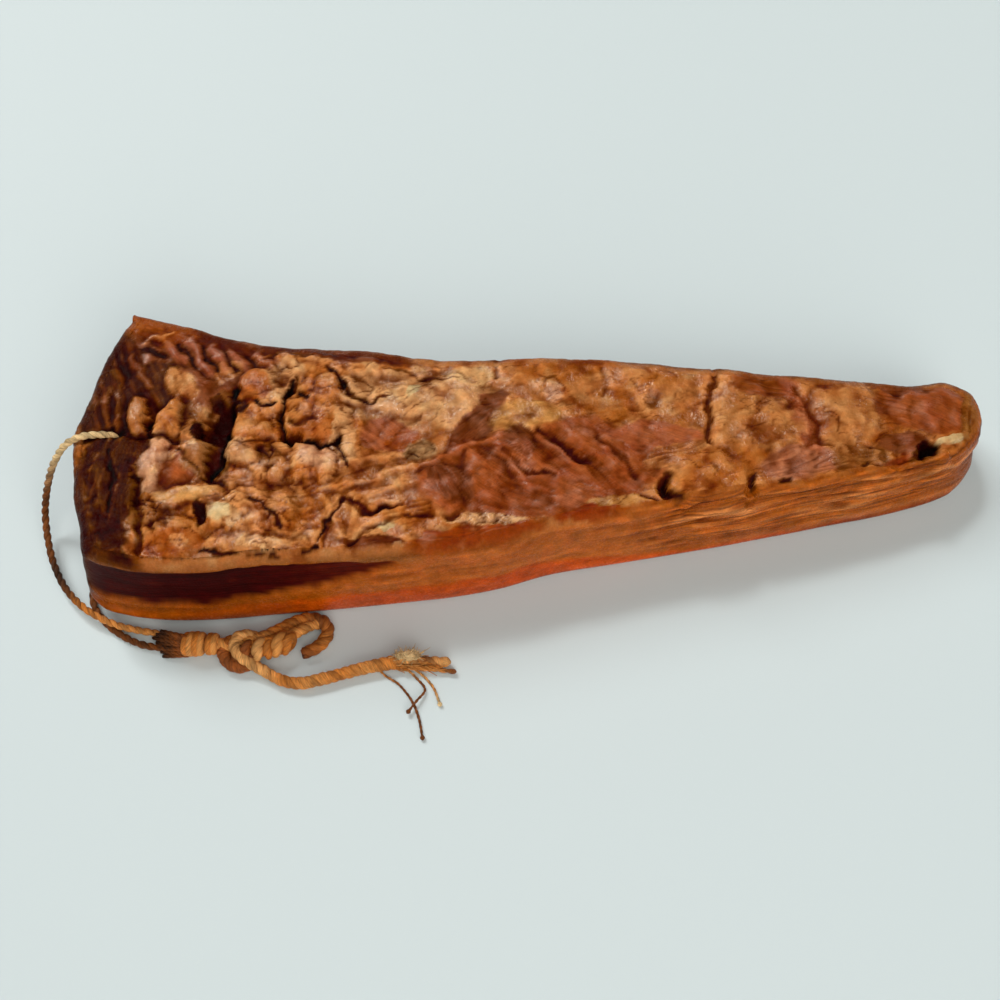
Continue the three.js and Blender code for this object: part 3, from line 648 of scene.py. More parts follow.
# Relief of the top: lobes and hollows are x, y, half widths, turn and height or depth.
lobes = {
    "shoulder_flap": (-159.5, -25, 14.5, 27, 0, 3),
    "left_corner": (-161, -44, 13, 7, 0, 2.6),
    "pale_tongue": (-147.5, -10, 4.2, 14.5, -5, 3.4),
    "nub_left": (-155, 10.5, 4, 7, 0, 5),
    "nub_right": (-142.5, 9.5, 5, 8.5, 0, 5),
    "nub_brown": (-134, 3, 5, 5, 0, 3.4),
    "fibrous_hump": (-138, 24, 9, 6.5, -20, 3),
    "fibrous_mound": (-132.5, -9, 11, 7.5, 20, 3.4),
    "leaf_ridge": (-133.5, -23.5, 12.5, 4.2, 8, 3),
    "orange_slab": (-137.5, -42, 13.5, 8, 0, 2.8),
    "fold_hump": (-108.5, -31, 15.5, 10.5, 4, 4.2),
    "fold_shelf": (-109, -44.5, 17, 5, 2, 3),
    "blob_seat": (-119.5, -31.5, 5, 6, 20, 5.2),
    "pit_ball": (-121.5, 16, 5.5, 4.5, 0, 1.2),
    "boulder_brow": (-109.5, 23.5, 7.5, 8, 10, 4.9),
    "boulder_left": (-104.5, 15, 8.5, 9, 0, 4.4),
    "boulder_mid": (-85.5, 10, 11.5, 11.5, 0, 4.5),
    "boulder_high": (-80, 22, 12, 7, -10, 4.4),
    "boulder_low": (-111, 5, 8.5, 6.5, 10, 4.6),
    "boulder_bridge": (-112.5, -1.5, 6.5, 5.5, 0, 4.2),
    "shelf_left": (-113, -6.5, 5.5, 6, 0, 4.6),
    "shelf_mid": (-102.5, -12, 8, 6, 0, 3),
    "shelf_pale": (-89, -8.5, 6, 9, 0, 4),
    "shelf_right": (-80.5, -10, 5, 7.5, 0, 3.4),
    "column": (-71.5, 0, 5, 15, 0, 1.6),
    "upper_roll": (-80, 32.5, 26, 5.5, -3, 3),
    "centre_hump": (-33.5, 18, 14, 10.5, 20, 3),
    "tan_shelf": (-54, 18, 12, 8, 0, 2.4),
    "lean_knuckle_a": (-36.5, -20.5, 9, 10, 20, 3),
    "lean_knuckle_b": (-21, -16, 8.5, 9.5, 15, 2.4),
    "lean_knuckle_c": (-5.5, -5, 12.5, 7, -35, 2.6),
    "lean_knuckle_d": (10, -16, 16, 8, -20, 2.2),
    "lean_knuckle_e": (25.5, -3.5, 15, 5.5, -30, 2.2),
    "upper_fat_left": (4.5, 27, 16, 8.5, 0, 2),
    "upper_fat_right": (47, 27, 18, 7.5, -4, 2),
    "yellow_fat": (0, 12, 16, 7, -10, 1.8),
    "fat_block": (81, 13, 12.5, 22, 4, 3),
    "fat_bulge": (66.5, -13, 17, 11, 6, 4),
    "fat_tongue": (96, 8, 13, 11, 10, 3.4),
    "fat_lobes": (127, 17.5, 13, 12.5, 0, 3.2),
    "lean_pad": (156, 18.5, 18, 9, 6, 2.6),
    "cream_streak": (166.5, 7.5, 8, 3, 12, 1),
    "end_curl": (162.5, -8.5, 7, 6, 20, 4),
}
hollows = {
    "main_pit": (-123.5, 8, 8, 13, 0, 9),
    "pit_channel": (-124.5, -8, 5, 11, 0, 5),
    "under_boulder": (-94, 0.5, 5.5, 3, 0, 4),
    "small_pit": (-127, -31.5, 3.4, 5, 0, 2.6),
    "dark_nook": (-150, 10.5, 3, 7, 0, 4),
    "nook_right": (-128, 2.5, 4, 5, 0, 3),
    "end_cavity": (157.5, 0.8, 7, 3.4, 26, 6),
    "end_valley": (145, -4, 11, 4, 10, 2.6),
    "fold_hole": (83.5, -18.5, 3, 5.5, 0, 5),
    "fold_pit": (50.5, -18, 3.4, 6.5, 0, 5),
    "brow_pit": (-75, 22, 3.4, 3, 0, 3),
    "cream_hole": (-32, -31.5, 4.5, 2.2, 10, 1.6),
    "upper_hollow": (48.5, 19.5, 6, 4.5, 0, 1.6),
    "peak_hollow": (-155, 45, 7, 5, 0, 1.6),
}
# Lines are their points, half width and depth or height.
creases = {
    "deep_cut": ([(73, 34), (71.5, 25.5), (69, 16), (69, 7.5), (69, 0)], 1.7, 4.5),
    "edge_cut_left": ([(-15, 38), (-15.5, 32), (-14.5, 28)], 1.3, 2),
    "edge_cut_mid": ([(28, 38), (28.5, 30), (27.5, 21)], 1.3, 1.6),
    "flap_crease": ([(-153, -16.5), (-150.5, -27.5), (-150.5, -38), (-148, -47)], 2, 4.5),
    "boulder_crease": ([(-95, 27), (-97.5, 18), (-98.5, 7), (-98.5, 0.5)], 1.6, 5),
    "under_crease": ([(-97.5, 0), (-89.5, -2), (-80.5, -0.5), (-78, -6), (-77, -14.5)], 1.6, 3),
    "flap_gap": ([(-178, 1.5), (-168, 3), (-158, 1.5), (-151, 3)], 2.2, 3),
    "arch_crease": ([(-43.5, 28), (-37.5, 30.5), (-30.5, 31), (-27, 28)], 1.3, 1.3),
    "leaf_crease": ([(-72, -47), (-66.5, -40.5), (-59, -35), (-49.5, -32), (-40, -32.5)], 1.5, 2.6),
    "leaf_crease_left": ([(-76.5, -32), (-78.5, -39.5), (-80.5, -46.5)], 1.3, 2),
    "strand_crease": ([(-74.5, -26), (-70, -27.5), (-64.5, -31), (-52.5, -27)], 1.4, 2.2),
    "fold_crease": ([(40.5, -22), (46.5, -23.5), (51.5, -25), (59.5, -26), (69.5, -24.5)], 1.5, 3),
    "lean_crease": ([(2.5, 5), (8.5, -1), (16, -7.5), (21.5, -7.5)], 1.8, 1.5),
    "strip_crease": ([(106.5, 27), (108.5, 17), (112, 8.5), (113, 1)], 2, 1.8),
    "end_crease": ([(134, -6.5), (142, -5.2), (150, -3.4), (157, 0)], 1.3, 2.4),
}
strands = {
    "edge_cord": ([
        (-153, -50.5), (-133, -51), (-111, -51), (-88, -49), (-70, -47.5), (-47, -46.5),
    ], 2.2, 2.2),
    "fan_high": ([(-90.5, -16), (-71.5, -11), (-52.5, -6)], 1.7, 1.8),
    "fan_mid": ([(-82.5, -21), (-65.5, -16.5), (-48.5, -11.5)], 1.7, 2.2),
    "fan_low": ([(-73, -24), (-57.5, -20.5), (-42.5, -14.5)], 1.7, 2),
    "long_strand": ([(-54, -16.5), (-40.5, -8.5), (-25, -2), (-13.5, 2.5)], 1.6, 2),
    "leaf_edge": ([(-81.5, -24.5), (-74.5, -33.5), (-72, -45)], 1.5, 2),
    "end_flap": ([(143, -16), (155.5, -12), (161.5, -7), (163.5, -1)], 1.6, 2.4),
    "membrane": ([(94, -13), (98.5, -6), (109, -1.5), (121, 0)], 1.8, 1.8),
}
field_ribs = {
    "count": 6, "first": ((-24, -6), (-13, -22)), "last": ((21, 9), (40, -5)), "half_width": 2, "height": 1.3,
}


def rib_lines(count, first, last, half_width, height):
    """Ribs side by side, from the first line to the last."""
    rows = []
    for k in range(count):
        share = k / (count - 1)
        line = [tuple(a + (b - a) * share for a, b in zip(p, q)) for p, q in zip(first, last)]
        rows.append((line, half_width, height))
    return rows


def soft_max(a, b, soft):
    return 0.5 * (a + b + np.sqrt((a - b) ** 2 + soft ** 2))


def warped(x, y):
    """Places moved a little to and fro, so that no outline on the top is even."""
    wx = x + 1.6 * noise(x / 15, y / 15, 5) + 1.4 * layered(x / 7.5, y / 7.5, 7, 3)
    wy = y + 1.6 * noise(x / 15, y / 15, 6) + 1.4 * layered(x / 7.5, y / 7.5, 8, 3)
    return wx, wy


def swayed(x, y, amount, size, seed, octaves=2):
    """Places moved by noise of one size."""
    across = layered(x / size, y / size, seed, octaves)
    up = layered(x / size, y / size, seed + 1, octaves)
    return x + amount * across, y + amount * up


def relief(x, y):
    """Height of the broad relief of the top at places in plan."""
    wx, wy = warped(x, y)
    height = 1.1 * noise(x / 34, y / 34, 11)
    height = height + 0.5 * (np.minimum(1, 2.2 * np.abs(noise(wx / 11, wy / 11, 23))) - 0.6)
    lobe = np.zeros(np.shape(x))
    for place in lobes.values():
        lobe = soft_max(lobe, 0.9 * place[5] * (1 - (reach(wx, wy, place) / 1.25) ** 1.5), 1.1)
    height = height + lobe
    for place in hollows.values():
        height = height - place[5] * np.maximum(0, 1 - reach(wx, wy, place)) ** 1.5
    broken = 0.75 + 0.4 * noise(x / 6, y / 6, 25)
    for line, half_width, depth in creases.values():
        near = distance_to_line(wx, wy, line) / (0.65 * half_width)
        height = height - 0.6 * broken * depth * np.exp(-near ** 2)
    for line, half_width, rise in [*strands.values(), *rib_lines(**field_ribs)]:
        height = height + 0.7 * broken * rise * np.exp(-((distance_to_line(wx, wy, line) / half_width) ** 2))
    return height


def cracks_of(x, y):
    """Thin torn lines in the fat, 0 to 1."""
    wx = x + 1.4 * noise(x / 5, y / 5, 71) + 0.5 * noise(x / 2.1, y / 2.1, 73)
    wy = y + 1.4 * noise(x / 5, y / 5, 72) + 0.5 * noise(x / 2.1, y / 2.1, 74)
    gx = wx * 0.985 + wy * 0.174
    gy = wy * 0.985 - wx * 0.174
    torn_here = smoothstep(-0.1, 0.4, noise(x / 14, y / 14, 37))
    nicked_here = smoothstep(-0.1, 0.35, noise(x / 8, y / 8, 39))
    tears = np.exp(-((noise(gx / 15, gy / 7, 36) / 0.04) ** 2)) * torn_here
    nicks = np.exp(-((noise(gx / 6, gy / 3.5, 38) / 0.07) ** 2)) * nicked_here
    return np.maximum(tears, 0.65 * nicks)


def sheets(x, y, seed, steps):
    """Torn sheets, each rising slowly and ending in a small step: their height, -0.5 to 0.5, and tint."""
    level = steps * layered(x, y, seed, 2)
    number = np.floor(level)
    part = level - number
    height = np.where(part < 0.84, part / 0.84, 1 - smoothstep(0.84, 1, part)) - 0.5
    return height, np.sin(number * 2.4 + seed) * smoothstep(0, 0.1, part) * (1 - smoothstep(0.9, 1, part))


def torn(x, y, u, v, fibrous):
    """Sheets of two sizes, drawn out along the fibres where the ground is fibrous."""
    wx, wy = swayed(x, y, 2.5, 9, 71)
    wv = v + 1.2 * noise(u / 12, v / 8, 55)
    large, large_tint = sheets(wx / 34, wy / 26, 31, 2.0)
    small, small_tint = sheets(wx / 15, wy / 11, 33, 1.2)
    long, long_tint = sheets(u / 44, wv / 9, 35, 2.0)
    thin, thin_tint = sheets(u / 24, wv / 3.6, 37, 1.4)
    shown = smoothstep(-0.3, 0.5, noise(x / 16, y / 16, 39))
    height = (1 - fibrous) * (0.5 * large + 0.16 * small) * shown + fibrous * (0.5 * long + 0.14 * thin)
    tint = (1 - fibrous) * (0.6 * large_tint + 0.4 * small_tint)
    return height, tint + fibrous * (0.5 * long_tint + 0.3 * thin_tint)


def lumps(x, y):
    """Rounded lumps of fat with thin gaps between some of them: their height and how near a gap is."""
    wx, wy = swayed(x, y, 2.6, 10, 171, 3)
    near, after = cells(wx / 8.5, wy / 6.5, 137)
    open_gap = smoothstep(-0.1, 0.45, noise(x / 7, y / 7, 139))
    gap = np.exp(-(((after - near) / 0.07) ** 2)) * open_gap
    return 0.6 - 1.5 * near ** 2 - 0.4 * gap, gap


# Colours of the slab, as they are seen in even light, with dark ones that paint shade into its cracks, pits
# and holes

palette_codes = {
    "tan": "#b3713f", "dull_tan": "#a6693a", "orange": "#a35c29", "pale": "#cfa06c", "pink": "#c08d6c",
    # The two darkest colours are the smoked crust, also used as painted shade in gaps and holes, and a near
    # black used only as painted shade deep in cracks, pits and holes.
    "brown": "#784724", "umber": "#432309", "bark_and_shade": "#2b1305", "crevice_shade_black": "#180a03", "cream": "#c2ae80",
    "yellow": "#b68046", "rust": "#95491c", "lean": "#8a4526", "lean_red": "#a45a3a", "lean_dark": "#4c1e0d",
    "lean_purple": "#6e3b26", "lean_brick": "#86340f", "membrane": "#9e6146", "grey": "#806244",
    "lean_rib": "#84452f", "sandy": "#bd8a5c", "lean_highlight_pink": "#a9705a", "lean_brown": "#7a3d1e",
    "end_brown": "#8c5a2c",
}
palette = {name: srgb(code) for name, code in palette_codes.items()}

wall_codes = {
    "rind_left": "#b45a16", "rind": "#cb5610", "rind_right": "#93450f",
    "fat_left": "#9c511f", "fat": "#bb6428", "fat_right": "#a0561f",
    "strip_left": "#3c1806", "strip_right": "#5e2409", "over_strip": "#9a5c2c",
    "strand": "#c4814c", "between_strands": "#5e2a10",
    "back": "#7c4721", "back_rind": "#7a360f", "back_lean": "#5b2812",
    "end_left": "#4a280f", "end_right": "#98552a", "end_strand": "#bd7740", "end_rind": "#6a3410",
}
wall = {name: srgb(code) for name, code in wall_codes.items()}

# Colours of the front edge of the top: colour and how far along the slab it runs.
front_rims = [("bark_and_shade", -200, -148), ("tan", -147, -49), ("orange", 36, 200)]

# The lamps are a little brighter than even light, and what the moist surface mirrors of the room comes
# on top of the paint, so the paint is less by both. Moist places mirror more, in this colour.
evenness = 0.9
shine = np.array([0.003, 0.007, 0.009])
moist_shine = 0.035
moist_tint = np.array([1, 0.88, 0.62])
darkest = 0.0015


# Patches of the top, laid over each other in this order: colour, x, y, half widths, turn, how craggy,
# how lean, and the way its fibres run in degrees or None.
patches = {
    "corner_lean": ("lean_purple", -137.5, 33.5, 31.5, 17.5, -16, 0.4, 1, -54),
    "back_edge": ("lean_dark", -105, 42, 60, 5, -7, 0.4, 1, -8),
    "left_lean": ("bark_and_shade", -169, 24, 15, 32, 14, 0.5, 1, -72),
    "corner_brown": ("umber", -151, 24, 12, 12, -11, 0.6, 0.6, -62),
    "peak_smooth": ("rust", -150.5, 50, 16, 7, -19, 0.3, 0.4, -15),
    "corner_fibre": ("tan", -122, 30.5, 5, 7.5, -44, 1, 0, -50),
    "corner_fibre_low": ("tan", -140.5, 23, 9, 6, -28, 1.2, 0, -60),
    "nub_left": ("orange", -154, 9.5, 4.5, 7.5, 0, 0.5, 0, None),
    "nub_right": ("orange", -143, 9.5, 4.5, 8.5, 0, 0.6, 0, None),
    "nub_brown": ("brown", -134.5, 9, 5, 8.5, 0, 0.5, 0, None),
    # Painted shade in the nooks by the nubs and in the main pit.
    "nook": ("crevice_shade_black", -149, 5.5, 2, 6, 0, 0.5, 0, None),
    "nook_right": ("crevice_shade_black", -131.5, 3.5, 2.5, 5, 0, 0.5, 0, None),
    "pit": ("umber", -122, -0.5, 5.5, 18, 0, 0.6, 0, None),
    "pit_top": ("crevice_shade_black", -115.5, 16, 4.5, 6, 0, 0.5, 0, None),
    "pit_ball": ("umber", -122.5, 17, 5, 4.5, 0, 0.3, 0, None),
    "tan_field": ("sandy", -47, 19, 36, 13, 0, 0.6, 0, None),
    "edge_cord": ("orange", -100, -52, 60, 4, 2, 0.3, 0, 2),
    "boulder_left": ("sandy", -99, 25, 9.5, 10, 0, 1.05, 0, None),
    "boulder_orange": ("rust", -110.5, 22.5, 6, 8.5, 0, 0.45, 0, None),
    "boulder_mid": ("orange", -86.5, 16, 12, 13.5, 0, 0.8, 0, None),
    "boulder_mid_low": ("rust", -85, 4, 10, 4.5, 0, 0.4, 0, None),
    "boulder_low": ("orange", -111.5, 6, 8, 6.5, 0, 0.75, 0, None),
    "crumb_left": ("sandy", -114.5, -6, 5.5, 6.5, 0, 1, 0, None),
    "crumb_dark": ("brown", -103.5, -7, 5.5, 5, 0, 1.4, 0, None),
    "crumb_pink": ("pink", -83.5, -7.5, 8.5, 7, 0, 1, 0, None),
    "column": ("sandy", -74.5, 1, 5, 15, 8, 0.8, 0, None),
    "flap": ("bark_and_shade", -164, -20, 14, 25, 0, 0.7, 0.3, 84),
    "flap_light": ("umber", -172, -9, 4.5, 8.5, 0, 0.6, 0, 80),
    "flap_top": ("umber", -159, -3.5, 11, 6, 0, 0.7, 0, 84),
    "flap_crumb": ("umber", -151.5, -21.5, 5, 11, 0, 1.5, 0, None),
    "corner_lobe": ("bark_and_shade", -166, -42, 13, 10, 0, 0.6, 0, None),
    "corner_lobe_low": ("umber", -162, -52, 11, 6, 0, 0.6, 0, None),
    "tongue": ("pink", -147.5, -11, 5, 13.5, -9, 0.3, 0, 84),
    "tongue_tip": ("pink", -144.5, -21.5, 3.5, 3.5, -32, 0.3, 0, None),
    "pink_lean": ("lean", -137.5, -13.5, 6.5, 8, -33, 0.3, 0.8, -40),
    "striated": ("brown", -129, -9.5, 9, 7.5, -33, 0.8, 0, -33),
    "striated_edge": ("pale", -137.5, -2, 6.5, 1.5, -11, 0.6, 0, None),
    "leaf_under": ("orange", -134.5, -28, 7.5, 4, 0, 0.5, 0, None),
    "leaf_ridge": ("yellow", -131.5, -23.5, 14, 3.5, 5, 0.4, 0, 5),
    "fold_hump": ("tan", -110.5, -28, 16, 10, 6, 1, 0, None),
    # Painted shade in a small pit.
    "fold_pit": ("umber", -127.5, -31.5, 2.2, 5.5, 0, 0.5, 0, None),
    "blob_cream": ("pale", -115.5, -33.5, 3.5, 4, 0, 0.4, 0, None),
    "blob": ("cream", -120.8, -31, 4, 5.2, 37, 0.2, 0, None),
    "rough_brown": ("brown", -144, -31.5, 7, 6, 0, 1.3, 0, None),
    "orange_slab": ("rust", -136, -44, 12, 7, 0, 0.5, 0, None),
    "pale_lump": ("tan", -133.5, -43, 2.5, 3.5, 0, 0.6, 0, None),
    "crumb_front": ("sandy", -104, -44, 9.5, 3.5, 0, 1.2, 0, None),
    "pale_shelf": ("tan", -115.5, -48, 14.5, 3, 0, 0.4, 0, 2),
    "fan": ("tan", -58, -14.5, 26.5, 10, 22, 0.6, 0, 20),
    "fan_low": ("orange", -78.5, -25, 13.5, 8.5, 22, 0.7, 0, 30),
    "leaf": ("tan", -72.5, -35.5, 8.5, 14, 0, 0.4, 0, 65),
    "under_fan": ("lean_dark", -62.5, -43.5, 12, 3, 0, 0.3, 0.8, 4),
    "fan_white": ("cream", -57, -36, 3, 2.5, 0, 0.5, 0, None),
    "leaf_tongue": ("orange", -48.5, -30.5, 10, 6, 11, 0.6, 0, 12),
    "fan_tip": ("pale", -53, -46, 3, 3, 0, 0.5, 0, None),
    "red_patch": ("lean_red", -57.5, 2, 11, 7.5, -11, 0.4, 1, -40),
    # Painted highlight: an orange-red glint on the red lean.
    "red_glow": ("rust", -52, 0, 7, 3, 17, 0.3, 0.6, 17),
    "grey_crumb": ("grey", -45.5, -4, 6.5, 4, 22, 1.6, 0, None),
    "purple_patch": ("lean_purple", -23.5, 7, 15, 5.5, 43, 0.5, 1, 43),
    "purple_top": ("lean_purple", -15.5, 18.5, 6, 4, 22, 0.7, 0.8, None),
    "pale_fat": ("pale", -25.5, 29, 10.5, 4.5, 0, 0.5, 0, None),
    "fat_spot": ("cream", -47.5, 22, 2.5, 3.5, -33, 0.4, 0, None),
    "yellow_fat": ("yellow", -3.5, 11.5, 15, 6, 12, 0.5, 0, 10),
    "pale_spot_mid": ("pink", 7.5, 22, 4, 4, 33, 1.2, 0, None),
    "lean_field_left": ("lean", -15.5, -13.5, 32, 18, 9, 0.4, 1, -35),
    "lean_field_low": ("lean", 9.5, -22.5, 31.5, 9.5, 6, 0.4, 1, -22),
    "lean_field_mid": ("lean", 25.5, -5, 27, 15, -13, 0.4, 1, -38),
    "lean_field_right": ("lean_red", 47.5, 3.5, 20.5, 6, -4, 0.3, 1, -18),
    "lean_purple_a": ("lean_purple", -32, -18.5, 10.5, 7.5, -43, 0.5, 1, -60),
    "lean_purple_b": ("lean_purple", -5.5, 0.5, 7.5, 6, -43, 0.5, 1, -45),
    "red_band": ("lean_brick", -25, -41, 29.5, 5.5, 12, 0.3, 1, 9),
    "red_band_right": ("lean_brick", 25, -30, 17.5, 4, 5, 0.3, 1, 6),
    "crumb_line": ("sandy", -19, -32.5, 16, 2.1, 3, 1.8, 0, None),
    "fat_wedge": ("tan", 58, -4, 16.5, 5, 16, 0.5, 0, 16),
    "yellow_spots": ("yellow", 32.5, -24.5, 12.5, 2.4, 5, 0.6, 0, None),
    "fat_right": ("dull_tan", 90.5, 14.5, 21, 17.5, 0, 0.6, 0, None),
    "bulge": ("orange", 69, -14.5, 18.5, 12, 6, 0.5, 0, None),
    "back_purple": ("lean_brown", 92, 27, 13.5, 6, -7, 0.4, 1, -8),
    "fat_patch": ("dull_tan", 127, 16.5, 12.5, 13.5, 0, 0.5, 0, None),
    "lean_pad": ("lean", 157.5, 18.5, 21, 11, 0, 0.3, 1, -20),
    "dark_rim": ("lean_purple", 146.5, 28, 13, 3, -5, 0.4, 1, -5),
    "cream": ("cream", 167, 6, 7.5, 2, 12, 0.4, 0, 9),
    "membrane": ("membrane", 104, -7.5, 16, 7.5, 11, 0.6, 0.7, 18),
    "right_crumb": ("brown", 128, -4, 13, 6.5, 6, 1.2, 0, 8),
    "right_lean": ("lean_purple", 147, 3, 11, 4.2, 8, 0.6, 0.8, 8),
    "red_floor": ("lean_brick", 146, -4.5, 8, 3.2, 12, 0.4, 0.8, 12),
    # Painted shade in the hole at the thin end and round its rim.
    "end_hole_rim": ("umber", 156, 0, 7.4, 3.2, 26, 0.4, 0, None),
    "end_hole": ("bark_and_shade", 158.6, 1.4, 4, 1.6, 26, 0.4, 0, None),
    "end_curl": ("pale", 165, -4.5, 3, 6.5, -22, 0.5, 0, 75),
    "streaks": ("orange", 116, -24, 76, 10, 10, 0.4, 0, 10),
    "front_orange": ("rust", 44, -32, 17.5, 6, 5, 0.6, 0, 8),
    "end_rim": ("end_brown", 175, 14, 4, 14.5, 0, 0.5, 0, 85),
}

